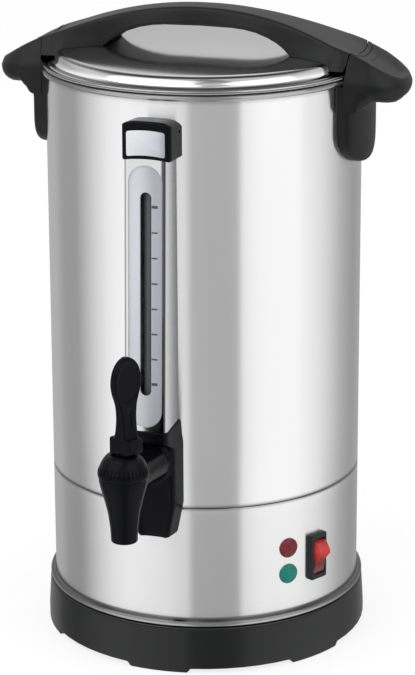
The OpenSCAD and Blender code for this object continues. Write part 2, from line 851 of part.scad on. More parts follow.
// The block between the body and the tap: wide at the body, narrow in front
module tap_block() {
    foot = -body_r + 5;
    color(black)
        difference() {
            union() {
                intersection() {
                    translate([0, 0, block_low_z]) linear_extrude(height = block_z + 8 - block_low_z)
                        polygon([
                            [-block_half_w, foot], [-block_half_w + 2.5, -body_r - block_out],
                            [block_half_w - 2.5, -body_r - block_out], [block_half_w, foot]
                        ]);
                    slab_y(-body_r - 30, foot)
                        polygon([
                            [-block_half_w + 4, block_low_z], [block_half_w - 4, block_low_z],
                            [block_half_w, block_low_z + 21], [block_half_w, tap_z + 10],
                            [block_half_w - 2, block_z + 8], [-block_half_w + 2, block_z + 8],
                            [-block_half_w, tap_z + 10], [-block_half_w, block_low_z + 21]
                        ]);
                    slab_x(-block_half_w, block_half_w)
                        polygon([
                            [foot, block_low_z], [-body_r - block_out + 1.5, block_low_z],
                            [-body_r - block_out, block_low_z + 4],
                            [-body_r - block_out, lip_z], [lip_y, lip_z],
                            [lip_y, block_top(lip_y)], [foot, block_top(foot)]
                        ]);
                }
                along_y(shank_boss_r, -body_r - block_out - 4, foot, 0, tap_z);
                slab_x(slot_x - gauge_half_w, slot_x + gauge_half_w)
                    polygon([
                        [foot, lip_z], [-body_r - block_out - 4, lip_z], [lip_y, lip_z + 2],
                        [lip_y, block_top(lip_y)], [foot, block_top(foot)]
                    ]);
            }
            cylinder(r = body_r + skin_gap, h = rim_z, $fn = 144);
            along_y(shank_r + fit_gap, -body_r - 30, foot + 1, 0, tap_z);
        }
}

// Outline of the tap from the spout's mouth up to the seam, made thinner by inset
function tap_outline(inset) = [
    for (p = tap_curve)
        [spout_r + (tap_r - spout_r) * p[0] - inset, spout_z + (tap_body_h - 0.1) * p[1]]
];

module tap_profile() {
    polygon(concat([[outlet_r, spout_z]], tap_outline(0), [
        [chamber_r, tap_seam_z - 0.1], [chamber_r, seat_z + 15.5],
        [chamber_r - 2.7, seat_z + 4], [chamber_r - 3.2, seat_z + 2], [outlet_r + 1.5, seat_z + 2],
        [outlet_r + 1, seat_z + 3], [outlet_r, seat_z + 3]
    ]));
}

module tap_body() {
    color(black)
        difference() {
            union() {
                translate([0, tap_y, 0]) rotate_extrude() tap_profile();
                difference() {
                    union() {
                        translate([0, tap_y, tap_z]) rotate([-90, 0, 0])
                            cylinder(r1 = shank_r, r2 = shank_boss_r,
                                     h = tap_reach - block_out - 4 - skin_gap);
                        along_y(shank_r, tap_y, -body_r + 13, 0, tap_z);
                    }
                    translate([0, tap_y, 0]) rotate_extrude()
                        polygon(concat([[0, spout_z]], tap_outline(1), [[0, tap_seam_z - 0.1]]));
                    translate([0, tap_y, tap_seam_z - 0.1]) cylinder(r = tap_r + 1.5, h = 30);
                }
            }
            along_y(4.5, tap_y, -body_r + 14, 0, tap_z);
        }
}

module tap_seal() {
    face = -sqrt(pow(body_in_r, 2) - pow(13, 2)) + running_gap;
    color(silicone)
        difference() {
            along_y(12.5, face, face + 2, 0, tap_z);
            along_y(shank_r + running_gap, face - 1, face + 3, 0, tap_z);
        }
}

module tap_nut() {
    face = -sqrt(pow(body_in_r, 2) - pow(13, 2)) + running_gap + 2;
    color(steel)
        difference() {
            nut_along_y(14, face, face + 6, 0, tap_z);
            along_y(shank_r + running_gap, face - 1, face + 7, 0, tap_z);
        }
}

module bonnet() {
    groove_count = 36;
    color(black)
        translate([0, tap_y, 0])
            difference() {
                rotate_extrude()
                    polygon(concat(
                        [[0, tap_seam_z]],
                        [for (p = bonnet_curve) [tap_r + p[0], tap_seam_z + bonnet_h * p[1]]],
                        [[0, bonnet_z]]
                    ));
                for (k = [0 : groove_count - 1])
                    rotate([0, 0, 360 * k / groove_count])
                        translate([tap_r - 0.1, -0.45, tap_seam_z + 1.9]) cube([2, 0.9, 4.7]);
                translate([0, 0, tap_seam_z - 1]) cylinder(r = stem_r + running_gap, h = 30);
                translate([0, 0, tap_seam_z - 1]) cylinder(r = spring_r + 1.2, h = 9);
            }
}

module tap_stem() {
    color("whitesmoke")
        translate([0, tap_y, 0])
            difference() {
                union() {
                    translate([0, 0, seat_z + 3.9]) cylinder(r = stem_r, h = pin_z + 2.6 - seat_z - 3.9);
                    translate([0, 0, seat_z + 8]) cylinder(r = stem_r + 3.5, h = 1.5);
                }
                rotate([0, 0, lever_turn])
                    along_y(pin_r + running_gap, -10, 10, 0, pin_z);
            }
}

module seat_cup() {
    color(silicone)
        translate([0, tap_y, 0])
            difference() {
                translate([0, 0, seat_z + 3.1]) cylinder(r = outlet_r + 2, h = 4.8);
                translate([0, 0, seat_z + 3.8])
                    cylinder(r = stem_r + running_gap, h = 5);
            }
}

// Round wire wound on a screw line
module coil(r, wire_r, z0, z1, turns) {
    sides = 8;
    steps = turns * 20;
    rings = [
        for (i = [0 : steps])
            let (a = 360 * turns * i / steps, z = z0 + (z1 - z0) * i / steps)
                [for (j = [0 : sides - 1])
                    let (b = 360 * j / sides, q = r + wire_r * cos(b))
                        [q * cos(a), q * sin(a), z + wire_r * sin(b)]]
    ];
    points = [for (ring = rings, p = ring) p];
    skin = [
        for (i = [0 : steps - 1], j = [0 : sides - 1])
            [i * sides + j, (i + 1) * sides + j,
             (i + 1) * sides + (j + 1) % sides, i * sides + (j + 1) % sides]
    ];
    ends = [[for (j = [0 : sides - 1]) j],
            [for (j = [sides - 1 : -1 : 0]) steps * sides + j]];
    polyhedron(points, concat(skin, ends), convexity = 10);
}

module tap_spring() {
    color(steel)
        translate([0, tap_y, 0])
            coil(spring_r, spring_wire, seat_z + 9.6 + spring_wire, spring_top_z, 5);
}

// The lever in its own plane: X is the way it tips, Y is the pin's direction
module tap_lever() {
    neck_z = lever_foot_z + heel_h;
    paddle_z = paddle_top_z - paddle_half_h;
    color(black)
        translate([0, tap_y, 0]) rotate([0, 0, lever_turn])
            difference() {
                union() {
                    slab_y(-heel_half_w, heel_half_w)
                        polygon([
                            [-heel_back, lever_foot_z], [3, lever_foot_z],
                            [heel_front - 3.5, lever_foot_z + 0.7], [heel_front - 1, lever_foot_z + 1.6],
                            [heel_front, lever_foot_z + heel_rise], [heel_front, neck_z],
                            [-heel_back, neck_z]
                        ]);
                    slab_y(-heel_half_w + 0.6, heel_half_w - 0.6)
                        polygon([
                            [paddle_x - 5.5, neck_z - 1], [paddle_x + 5, neck_z - 1],
                            [paddle_x + 3.2, neck_z + 16], [paddle_x + 3, paddle_z],
                            [paddle_x - 3, paddle_z], [paddle_x - 3.2, neck_z + 16]
                        ]);
                    slab_x(paddle_x - paddle_t / 2, paddle_x + paddle_t / 2)
                        polygon([
                            for (a = [0 : 10 : 350])
                                [paddle_half_w * cos(a), paddle_z + paddle_half_h * sin(a)]
                        ]);
                }
                box([-stem_r - stem_slot_back, -stem_r - move_gap, lever_foot_z - 1],
                    [stem_r + stem_slot_front, stem_r + move_gap, pin_z + 6]);
                along_y(pin_r + running_gap, -10, 10, 0, pin_z);
            }
}

module lever_pin() {
    color(steel)
        translate([0, tap_y, 0]) rotate([0, 0, lever_turn])
            along_y(pin_r, -heel_half_w + 0.2, heel_half_w - 0.2, 0, pin_z);
}

// ---------- heater and its controls ----------

module heater_plate() {
    color("lightgray")
        difference() {
            translate([0, 0, plate_z]) cylinder(r = plate_r, h = plate_t, $fn = 144);
            translate([0, 0, plate_z - 1]) cylinder(r = 3 + fit_gap, h = plate_t + 2);
            translate([0, 0, element_z])
                rotate_extrude() translate([element_r, 0])
                    circle(r = element_tube_r + running_gap, $fn = 32);
        }
}

module heating_element() {
    gap_angle = 40;
    color(brass)
        rotate([0, 0, 90 + gap_angle / 2]) {
            translate([0, 0, element_z]) {
                rotate_extrude(angle = 360 - gap_angle)
                    translate([element_r, 0]) circle(r = element_tube_r, $fn = 32);
                for (a = [0, 360 - gap_angle])
                    rotate([0, 0, a]) translate([element_r, 0, 0]) {
                        translate([0, 0, -14]) cylinder(r = element_tube_r + 0.3, h = 14, $fn = 32);
                        translate([0, 0, -20]) cylinder(r = 1.5, h = 7);
                    }
            }
        }
}

module heater_nut() {
    color(steel)
        difference() {
            translate([0, 0, plate_z - 5]) cylinder(r = 5.8, h = 5, $fn = 6);
            translate([0, 0, plate_z - 6]) cylinder(r = 3 + running_gap, h = 7);
        }
}

// A disc thermostat under the heater plate, held by a strap with two screw holes
module thermostat() {
    difference() {
        union() {
            translate([0, 0, plate_z - 7]) cylinder(r = 8, h = 7);
            translate([-13, -4, plate_z - 1]) cube([26, 8, 1]);
            for (x = [-4, 4])
                translate([x - 0.4, -3, plate_z - 15]) cube([0.8, 6, 9]);
        }
        for (x = [-10.8, 10.8])
            translate([x, 0, plate_z - 2]) cylinder(r = 1.5, h = 3);
    }
}

module boil_thermostat() {
    color("ivory") translate([control_x, 0, 0]) rotate([0, 0, 90]) thermostat();
}

module warm_thermostat() {
    color("ivory") translate([-control_x, 0, 0]) rotate([0, 0, 90]) thermostat();
}

module thermal_cutout() {
    color("ivory")
        translate([0, -control_x - 4, 0])
            difference() {
                union() {
                    translate([-9, -4, plate_z - 6]) cube([18, 8, 6]);
                    translate([-13, -4, plate_z - 1]) cube([26, 8, 1]);
                }
                for (x = [-11, 11])
                    translate([x, 0, plate_z - 2]) cylinder(r = 1.2, h = 3);
            }
}

module control_screws() {
    color(steel)
        for (side = [-1, 1], y = [-10.8, 10.8])
            translate([side * control_x, y, plate_z - 3]) {
                cylinder(r = 2.2, h = 2);
                cylinder(r = 1.4, h = 2.9);
            }
}

module terminal_block() {
    color("ivory")
        translate([0, block_y, cover_z + cover_t])
            difference() {
                translate([-18, -8, 0]) cube([36, 16, 16]);
                for (x = [-12, 0, 12])
                    translate([x, 0, 4]) cylinder(r = wire_r + fit_gap, h = 13);
            }
}

module wiring() {
    top = cover_z + cover_t + 6;
    lift = base_h + 16;
    turn = element_r * sin(20);
    switch_end = body_r - 35;
    sx = switch_end * sin(switch_angle);
    sy = -switch_end * cos(switch_angle);
    lx = (body_r - lamp_depth - wire_r) * sin(lamp_angle);
    ly = -(body_r - lamp_depth - wire_r) * cos(lamp_angle);
    color("firebrick") {
        wire([[12, block_y, top], [12, block_y, lift], [60, 20, lift + 6],
              [sx, sy, switch_z + 8]], wire_r);
        wire([[0, block_y, top], [0, block_y, lift - 6],
              [turn, element_r * cos(20), element_z - 20.5]], wire_r);
        wire([[-12, block_y, top], [-12, block_y, lift],
              [-control_x, 12, lift + 12], [-control_x, 4, plate_z - 15.5]], wire_r);
        wire([[sx, sy, switch_z - 8], [sx - 22, sy + 4, switch_z - 10],
              [control_x, -4, plate_z - 15.5]], wire_r);
        wire([[lx, ly, lamp_z[0]], [lx - 9, ly + 8, (lamp_z[0] + lamp_z[1]) / 2],
              [lx, ly, lamp_z[1]]], wire_r - 0.3);
    }
}

// ---------- cord gland ----------

module cord_gland() {
    color(black)
        difference() {
            union() {
                along_y(11, body_r + skin_gap, body_r + 4, 0, gland_z);
                along_y(8, body_r - 14, body_r + 4, 0, gland_z);
                translate([0, body_r + 3, gland_z]) rotate([-90, 0, 0])
                    cylinder(r1 = 8.5, r2 = 6, h = 13);
            }
            along_y(cord_r, body_r, body_r + 20, 0, gland_z);
            along_y(cord_r + 0.8, body_r - 15, body_r + 2, 0, gland_z);
        }
}

module gland_nut() {
    face = sqrt(pow(body_in_r, 2) - pow(12, 2)) - running_gap;
    color(black)
        difference() {
            nut_along_y(12, face - 5, face, 0, gland_z);
            along_y(8 + running_gap, face - 6, face + 1, 0, gland_z);
        }
}

// ---------- switch and lamps ----------

module switch_housing() {
    cavity_z = rocker_half_h + 0.5;
    cavity_x = rocker_half_w + move_gap;
    color(black)
        towards(switch_angle) translate([0, 0, switch_z])
            difference() {
                union() {
                    box([-switch_w / 2, -body_r - switch_out, -switch_h / 2],
                        [switch_w / 2, -body_r - running_gap, switch_h / 2]);
                    box([-switch_body_w / 2, -body_r - 1, -switch_body_h / 2],
                        [switch_body_w / 2, -body_r + 20, switch_body_h / 2]);
                }
                box([-cavity_x, -body_r - switch_out - 1, -cavity_z],
                    [cavity_x, -body_r + 9, cavity_z]);
                along_x(pin_r + running_gap, -cavity_x - 0.8, cavity_x + 0.8, rocker_y, 0);
            }
}

// The rocker pressed at its lower end
module switch_rocker() {
    color("red")
        towards(switch_angle) translate([0, rocker_y, switch_z]) {
            rotate([rocker_travel / 2, 0, 0])
                slab_x(-rocker_half_w, rocker_half_w)
                    polygon([
                        [5, -2.5], [1, -rocker_half_h + 1], [-3, -rocker_half_h],
                        [-8.3, -6.5], [-6, 0], [-8.3, 6.5], [-3, rocker_half_h],
                        [1, rocker_half_h - 1], [5, 2.5]
                    ]);
            along_x(pin_r, -rocker_half_w - 0.9, rocker_half_w + 0.9, 0, 0);
        }
}

module switch_terminals() {
    color(brass)
        towards(switch_angle) translate([0, 0, switch_z])
            for (z = [-8, 0, 8])
                box([-3.1, -body_r + 20, z - 0.4], [3.1, -body_r + 28, z + 0.4]);
}

module lamp_bodies() {
    color(black)
        towards(lamp_angle)
            for (z = lamp_z)
                along_y(lens_r - 1.4, -body_r - running_gap, -body_r + lamp_depth, 0, z);
}

module lamp_clips() {
    clip_r = lens_r + 1;
    face = -sqrt(pow(body_in_r, 2) - pow(clip_r, 2)) + running_gap;
    color(steel)
        towards(lamp_angle)
            for (z = lamp_z)
                difference() {
                    along_y(clip_r, face, face + 1, 0, z);
                    along_y(lens_r - 1.4 + running_gap, face - 1, face + 2, 0, z);
                }
}

module lens(z) {
    dome = 20;
    towards(lamp_angle)
        intersection() {
            along_y(lens_r, -body_r - 4, -body_r - running_gap, 0, z);
            translate([0, -body_r - 3.2 + dome, z]) sphere(r = dome, $fn = 96);
        }
}

module red_lens() {
    color([0.45, 0.2, 0.22]) lens(lamp_z[0]);
}

module green_lens() {
    color([0.08, 0.5, 0.44]) lens(lamp_z[1]);
}

tank();
lower_housing();
base_ring();
base_cover();
base_screws();
lid_shell();
lid_seal();
lid_handle();
lid_screws();
left_handle();
right_handle();
handle_screws();
handle_washers();
gauge_cover();
scale_plate();
sight_tube();
tube_grommets();
gauge_elbow();
gauge_seal();
gauge_nut();
gauge_cap();
badge_plate();
cap_screw();
tap_block();
tap_body();
tap_seal();
tap_nut();
bonnet();
tap_stem();
seat_cup();
tap_spring();
tap_lever();
lever_pin();
heater_plate();
heating_element();
heater_nut();
boil_thermostat();
warm_thermostat();
thermal_cutout();
control_screws();
terminal_block();
wiring();
cord_gland();
gland_nut();
switch_housing();
switch_rocker();
switch_terminals();
lamp_bodies();
lamp_clips();
red_lens();
green_lens();
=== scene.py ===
import json
import math

import bmesh
import bpy
from mathutils import Matrix, Vector


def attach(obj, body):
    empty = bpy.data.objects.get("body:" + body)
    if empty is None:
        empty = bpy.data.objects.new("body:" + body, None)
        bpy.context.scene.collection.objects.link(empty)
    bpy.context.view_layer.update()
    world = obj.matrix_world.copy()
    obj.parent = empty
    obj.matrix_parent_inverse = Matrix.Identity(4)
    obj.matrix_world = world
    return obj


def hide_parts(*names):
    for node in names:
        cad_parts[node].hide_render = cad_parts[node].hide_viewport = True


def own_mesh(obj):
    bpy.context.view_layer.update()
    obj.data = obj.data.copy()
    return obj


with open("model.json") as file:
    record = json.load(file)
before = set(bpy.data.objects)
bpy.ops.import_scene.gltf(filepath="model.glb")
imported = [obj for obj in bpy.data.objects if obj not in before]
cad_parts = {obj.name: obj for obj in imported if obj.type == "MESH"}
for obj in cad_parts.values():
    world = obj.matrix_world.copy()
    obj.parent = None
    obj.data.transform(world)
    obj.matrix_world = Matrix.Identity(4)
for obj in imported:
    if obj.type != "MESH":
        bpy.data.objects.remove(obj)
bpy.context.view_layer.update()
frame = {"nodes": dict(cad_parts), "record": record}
NODES = frame["nodes"]
MM = 0.001

# ---------- sizes of the urn, in millimetres ----------

BODY_R = 100.0
SHEET = 0.8
BASE_H = 30.5
FOOT_R = 104.8
SEAM_Z = 110.0
RIM_Z = 373.3
BEAD_R = 103.5
LID_R = 102.7
LID_Z = 374.3
DOME_R = 90.5
DOME_Z = 382.0
DOME_H = 3.0
CROWN_Z = 410.0
CROWN_ARC_R = 226.25
TONGUE_Z = 317.0
TAP_Y = -165.0
TAP_Z = 144.0
SPOUT_Z = 111.5
TAP_SEAM_Z = 153.3
BONNET_Z = 167.2
TAP_R = 15.2
SPOUT_R = 8.1
GAUGE_X = -1.0
GAUGE_Y = -115.0
GAUGE_HALF = 13.7
CAP_Z = 335.5
CAP_Y = -117.3
LEAN = math.radians(2.0)
LEVER_TURN = -28.0
SWITCH_ANGLE = 61.8
LAMP_ANGLE = 48.75
ROUND = 256


# ---------- mesh helpers ----------

def finish_piece(name, mesh, body, look, nodes, sharp=40):
    """Puts a finished mesh in the scene on its body, in place of its CAD nodes."""
    mesh.polygons.foreach_set("use_smooth", [True] * len(mesh.polygons))
    mesh.set_sharp_from_angle(angle=math.radians(sharp))
    mesh.materials.append(MATERIALS[look])
    obj = bpy.data.objects.new(name, mesh)
    bpy.context.scene.collection.objects.link(obj)
    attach(obj, body)
    if nodes:
        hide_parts(*nodes)
    return obj


def add_piece(name, surface, body, look, nodes, sharp=40, merge=0.0):
    """Puts a surface, given as points and faces, in the scene as a piece."""
    return finish_piece(name, mesh_of(name, *surface, merge), body, look, nodes, sharp)


def mesh_of(name, verts, faces, merge=0.0):
    """A mesh from points in millimetres, with its faces turned outwards."""
    bm = bmesh.new()
    made = [bm.verts.new(Vector(v) * MM) for v in verts]
    for face in faces:
        corners = []
        for k in face:
            if not corners or made[k] is not corners[-1]:
                corners.append(made[k])
        if len(set(corners)) == len(corners) and len(corners) > 2:
            bm.faces.new(corners)
    if merge:
        bmesh.ops.remove_doubles(bm, verts=bm.verts, dist=merge * MM)
        bmesh.ops.dissolve_degenerate(bm, edges=bm.edges, dist=merge * MM)
    bmesh.ops.recalc_face_normals(bm, faces=bm.faces)
    mesh = bpy.data.meshes.new(name)
    bm.to_mesh(mesh)
    bm.free()
    return mesh


def grid(rows, close_rows=False, close_cols=False):
    """Points and faces of a surface through rows of points."""
    verts = [p for row in rows for p in row]
    high = len(rows)
    wide = len(rows[0])
    faces = []
    for i in range(high if close_rows else high - 1):
        for j in range(wide if close_cols else wide - 1):
            a = i * wide + j
            b = i * wide + (j + 1) % wide
            c = ((i + 1) % high) * wide + (j + 1) % wide
            d = ((i + 1) % high) * wide + j
            faces.append((a, b, c, d))
    return verts, faces


def swing(x, y, z, angle):
    """A point turned round the urn's axis by an angle in degrees."""
    c, s = math.cos(math.radians(angle)), math.sin(math.radians(angle))
    return (c * x - s * y, s * x + c * y, z)


def turned(profile, angle, centre=(0.0, 0.0)):
    """An outline of (radius, height) at one angle round an upright axis."""
    c, s = math.cos(angle), math.sin(angle)
    return [(centre[0] + r * c, centre[1] + r * s, z) for r, z in profile]


def lathe(profile, steps=ROUND, centre=(0.0, 0.0)):
    """A closed outline of (radius, height) turned round an upright axis."""
    rows = [turned(profile, 2 * math.pi * k / steps, centre) for k in range(steps)]
    return grid(rows, close_rows=True, close_cols=True)


def arc(cx, cy, r, a0, a1, n):
    """Points on a circle from angle a0 to a1, in degrees."""
    out = []
    for k in range(n + 1):
        a = math.radians(a0 + (a1 - a0) * k / n)
        out.append((cx + r * math.cos(a), cy + r * math.sin(a)))
    return out


def rounded(points, radius, n=5):
    """A closed outline with its corners rounded; radius is one number or one for each corner."""
    out = []
    count = len(points)
    for k, p in enumerate(points):
        r = radius[k] if isinstance(radius, (list, tuple)) else radius
        here = Vector(p)
        before = Vector(points[k - 1]) - here
        after = Vector(points[(k + 1) % count]) - here
        half = before.angle(after) / 2
        if r < 1e-6 or half > math.radians(89):
            out.append(tuple(here))
            continue
        cut = min(r / math.tan(half), before.length * 0.49, after.length * 0.49)
        start = here + before.normalized() * cut
        end = here + after.normalized() * cut
        for i in range(n + 1):
            t = i / n
            out.append(tuple((1 - t) ** 2 * start + 2 * t * (1 - t) * here + t * t * end))
    return out


def prism(name, outline, place, levels, merge=0.0):
    """A solid made of copies of an outline; place(point, level) gives each copy's points."""
    rows = [[place(p, level) for p in outline] for level in levels]
    verts, faces = grid(rows, close_cols=True)
    wide = len(outline)
    last = (len(levels) - 1) * wide
    faces.append(tuple(range(wide - 1, -1, -1)))
    faces.append(tuple(range(last, last + wide)))
    return mesh_of(name, verts, faces, merge)


def between(a, b, share):
    """Point at a share of the way from a to b."""
    return tuple(p + (q - p) * share for p, q in zip(a, b))


def in_steps(points, longest):
    """A line of points with its long stretches divided, without its last point."""
    out = []
    for a, b in zip(points, points[1:]):
        steps = max(1, int(math.dist(a, b) / longest))
        out += [between(a, b, k / steps) for k in range(steps)]
    return out


def joined(first, second):
    """Points and faces of two surfaces taken together."""
    verts, faces = first
    more_verts, more_faces = second
    moved = [tuple(k + len(verts) for k in face) for face in more_faces]
    return verts + more_verts, faces + moved


def back_face(verts, wide):
    """The face that closes a surface between its first and its last row."""
    last = len(verts) - wide
    return tuple(range(wide)) + tuple(range(last + wide - 1, last - 1, -1))


def end_faces(verts, wide):
    """The two faces that close a tube at its first and its last row."""
    return [tuple(range(wide)), tuple(range(len(verts) - wide, len(verts)))]


def smooth_step(a, b, x):
    """0 up to a, 1 from b on, and a soft rise between them."""
    t = min(1.0, max(0.0, (x - a) / (b - a)))
    return t * t * (3 - 2 * t)


def along(points, x):
    """Value at x of a line through (x, value) points."""
    if x <= points[0][0]:
        return points[0][1]
    for (x0, v0), (x1, v1) in zip(points, points[1:]):
        if x <= x1:
            return v0 + (v1 - v0) * (x - x0) / (x1 - x0)
    return points[-1][1]


# ---------- materials ----------

def new_material(name):
    """A procedural material, its node tree and its shader."""
    mat = bpy.data.materials.new(name)
    mat.use_nodes = True
    tree = mat.node_tree
    return mat, tree, tree.nodes["Principled BSDF"]


def add_node(tree, kind, **values):
    """A node with some of its settings made."""
    node = tree.nodes.new(kind)
    for key, value in values.items():
        setattr(node, key, value)
    return node


def feed(tree, node, values):
    """Sets a node's inputs: to a number, a colour or the output of another node."""
    for name, value in values.items():
        if isinstance(value, bpy.types.NodeSocket):
            tree.links.new(value, node.inputs[name])
        elif isinstance(value, tuple):
            node.inputs[name].default_value = (*value, 1.0)
        else:
            node.inputs[name].default_value = value


def math_node(tree, operation, a, b=None):
    """The result of one operation on one or two values."""
    node = add_node(tree, "ShaderNodeMath", operation=operation)
    feed(tree, node, {0: a} if b is None else {0: a, 1: b})
    return node.outputs[0]


def times(tree, a, b):
    """The product of two values."""
    return math_node(tree, "MULTIPLY", a, b)


def plus(tree, a, b):
    """The sum of two values."""
    return math_node(tree, "ADD", a, b)


def minus(tree, a, b):
    """The difference of two values."""
    return math_node(tree, "SUBTRACT", a, b)


def apart(tree, a, b):
    """How far two values are from each other."""
    return math_node(tree, "ABSOLUTE", minus(tree, a, b))


def map_range(tree, value, low, high, to_low=0.0, to_high=1.0, kind="LINEAR"):
    """A value's place between low and high, as a number from to_low to to_high."""
    node = add_node(tree, "ShaderNodeMapRange", interpolation_type=kind)
    feed(tree, node, {"Value": value, "From Min": low, "From Max": high, "To Min": to_low, "To Max": to_high})
    return node.outputs["Result"]


def ramp(tree, factor, low, high):
    """A number from low to high for a factor from 0 to 1."""
    return map_range(tree, factor, 0.0, 1.0, low, high)


def mix(tree, factor, a, b, blend_type="MIX"):
    """Two colours mixed."""
    node = add_node(tree, "ShaderNodeMix", data_type="RGBA", blend_type=blend_type)
    feed(tree, node, {"Factor": factor, "A": a, "B": b})
    return node.outputs["Result"]


def grey(level):
    """A colour without a hue."""
    return (level, level, level)


def blend_along(tree, place, stops, low=None):
    """A colour that runs through (place, colour) stops; low is where the ramp itself begins."""
    low = stops[0][0] if low is None else low
    high = stops[-1][0]
    node = add_node(tree, "ShaderNodeValToRGB")
    elements = node.color_ramp.elements
    for k, (at, colour) in enumerate(stops):
        share = (at - low) / (high - low)
        stop = elements[k] if k < 2 else elements.new(share)
        stop.position = share
        stop.color = (*colour, 1.0)
    feed(tree, node, {"Fac": map_range(tree, place, low, high)})
    return node.outputs["Color"]


def object_place(tree):
    """Where a point lies on its piece, in metres."""
    return add_node(tree, "ShaderNodeTexCoord").outputs["Object"]


def object_axes(tree):
    """The same place as three numbers, X, Y and Z."""
    place = add_node(tree, "ShaderNodeSeparateXYZ")
    feed(tree, place, {0: object_place(tree)})
    return place.outputs


def noise(tree, scale, detail=4.0, rough=0.55, stretch=(1.0, 1.0, 1.0)):
    """Soft random patches, drawn out by stretch."""
    mapping = add_node(tree, "ShaderNodeMapping")
    mapping.inputs["Scale"].default_value = stretch
    feed(tree, mapping, {"Vector": object_place(tree)})
    patches = add_node(tree, "ShaderNodeTexNoise")
    feed(
        tree, patches,
        {"Scale": scale, "Detail": detail, "Roughness": rough, "Vector": mapping.outputs["Vector"]},
    )
    return patches.outputs["Fac"]


def uneven(tree, axis, scale, detail, reach):
    """A place along an axis that wanders by up to reach."""
    return plus(tree, axis, times(tree, noise(tree, scale, detail), reach))


def bump(tree, shader, height, strength, distance):
    """Gives a shader a rough surface."""
    node = add_node(tree, "ShaderNodeBump")
    feed(tree, node, {"Strength": strength, "Distance": distance, "Height": height})
    feed(tree, shader, {"Normal": node.outputs["Normal"]})


def steel(
    name, low, high, rough_low, rough_high, streak=(1, 1, 1), scale=60.0, dent=0.0, brushed=0.0, painted_light=(),
):
    """Polished metal, a little uneven in tone and gloss; brushed draws its reflections out upwards;
    painted_light paints rings of shade and reflection into its colour by height.
    """
    mat, tree, shader = new_material(name)
    soft = noise(tree, scale, 5.0, 0.6, streak)
    fine = noise(tree, scale * 14, 3.0, 0.6, streak)
    tone = mix(tree, soft, low, high)
    # painted shade and reflection: rings that darken the tone by height
    if painted_light:
        shade = blend_along(tree, object_axes(tree)["Z"], [(z * MM, grey(level)) for z, level in painted_light])
        tone = mix(tree, 1.0, tone, shade, "MULTIPLY")
    both = plus(tree, times(tree, soft, 0.6), times(tree, fine, 0.4))
    feed(
        tree, shader,
        {"Metallic": 1.0, "Base Color": tone, "Roughness": ramp(tree, both, rough_low, rough_high)},
    )
    if brushed:
        upright = add_node(tree, "ShaderNodeCombineXYZ")
        feed(tree, upright, {"Z": 1.0})
        feed(tree, shader, {"Tangent": upright.outputs[0], "Anisotropic": brushed})
    if dent:
        bump(tree, shader, fine, dent, 0.0002)
    return mat


def body_steel(name, painted_light=()):
    """Brushed steel of the body, with painted shade and painted reflection as rings by height at its beads
    and seams.
    """
    return steel(
        name, (0.92, 0.92, 0.925), (0.97, 0.97, 0.975), 0.19, 0.23, (1, 1, 0.25), 22.0, brushed=0.97,
        painted_light=painted_light,
    )


def plastic(name, low, high, rough_low, rough_high, grain=0.06, specular=0.5):
    """Moulded plastic with a fine grain."""
    mat, tree, shader = new_material(name)
    soft = noise(tree, 45.0, 3.0)
    feed(tree, shader, {
        "Specular IOR Level": specular,
        "Base Color": mix(tree, soft, low, high),
        "Roughness": ramp(tree, soft, rough_low, rough_high),
    })
    bump(tree, shader, noise(tree, 2600.0, 2.0), grain, 0.00015)
    return mat


def clear_plastic(name, colour, rough, clear):
    """Plastic that lets some light through."""
    mat, tree, shader = new_material(name)
    feed(tree, shader, {
        "Base Color": colour,
        "Transmission Weight": clear,
        "IOR": 1.46,
        "Roughness": ramp(tree, noise(tree, 90.0), rough, rough * 1.6),
    })
    return mat


def lens_plastic(name, low, high, glow):
    """Coloured lens: deep colour with a clear gloss over a fine facet pattern."""
    mat, tree, shader = new_material(name)
    cells = add_node(tree, "ShaderNodeTexVoronoi")
    feed(tree, cells, {"Scale": 700.0, "Vector": object_place(tree)})
    facets = cells.outputs["Distance"]
    feed(tree, shader, {
        "Base Color": mix(tree, facets, low, high),
        "Roughness": 0.3,
        "Specular IOR Level": 0.25,
        "Coat Weight": 0.1,
        "Coat Roughness": 0.1,
        "Emission Color": glow,
        "Emission Strength": 0.02,
    })
    bump(tree, shader, facets, 0.15, 0.0003)
    return mat


def rocker_plastic(name):
    """Red translucent button with painted light: a painted highlight on its hump, and painted shade in the
    dip below it and towards its top.
    """
    mat, tree, shader = new_material(name)
    # painted highlight and painted shade, set by height
    stops = [
        (0.054, (0.20, 0.035, 0.05)), (0.060, (0.22, 0.035, 0.05)), (0.0645, (0.10, 0.012, 0.018)),
        (0.069, (0.42, 0.025, 0.022)), (0.075, (0.60, 0.045, 0.035)), (0.082, (0.25, 0.012, 0.018)),
    ]
    height = uneven(tree, object_axes(tree)["Z"], 260.0, 2.0, 0.003)
    feed(
        tree, shader,
        {"Base Color": blend_along(tree, height, stops), "Roughness": 0.35, "Specular IOR Level": 0.35},
    )
    bump(tree, shader, noise(tree, 1500.0, 2.0), 0.04, 0.0001)
    return mat


def badge_metal(name):
    """Blank satin plate with painted shade: it darkens softly to its right."""
    mat, tree, shader = new_material(name)
    # painted shade across the plate, darker to the right
    stops = [
        (-0.012, (0.80, 0.81, 0.84)), (0.0, (0.68, 0.68, 0.73)),
        (0.009, (0.55, 0.555, 0.60)), (0.012, (0.38, 0.38, 0.42)),
    ]
    across = uneven(tree, object_axes(tree)["X"], 180.0, 3.0, 0.0015)
    feed(
        tree, shader,
        {"Base Color": blend_along(tree, across, stops), "Roughness": 0.4, "Specular IOR Level": 0.3},
    )
    bump(tree, shader, noise(tree, 1800.0, 2.0), 0.04, 0.0001)
    return mat


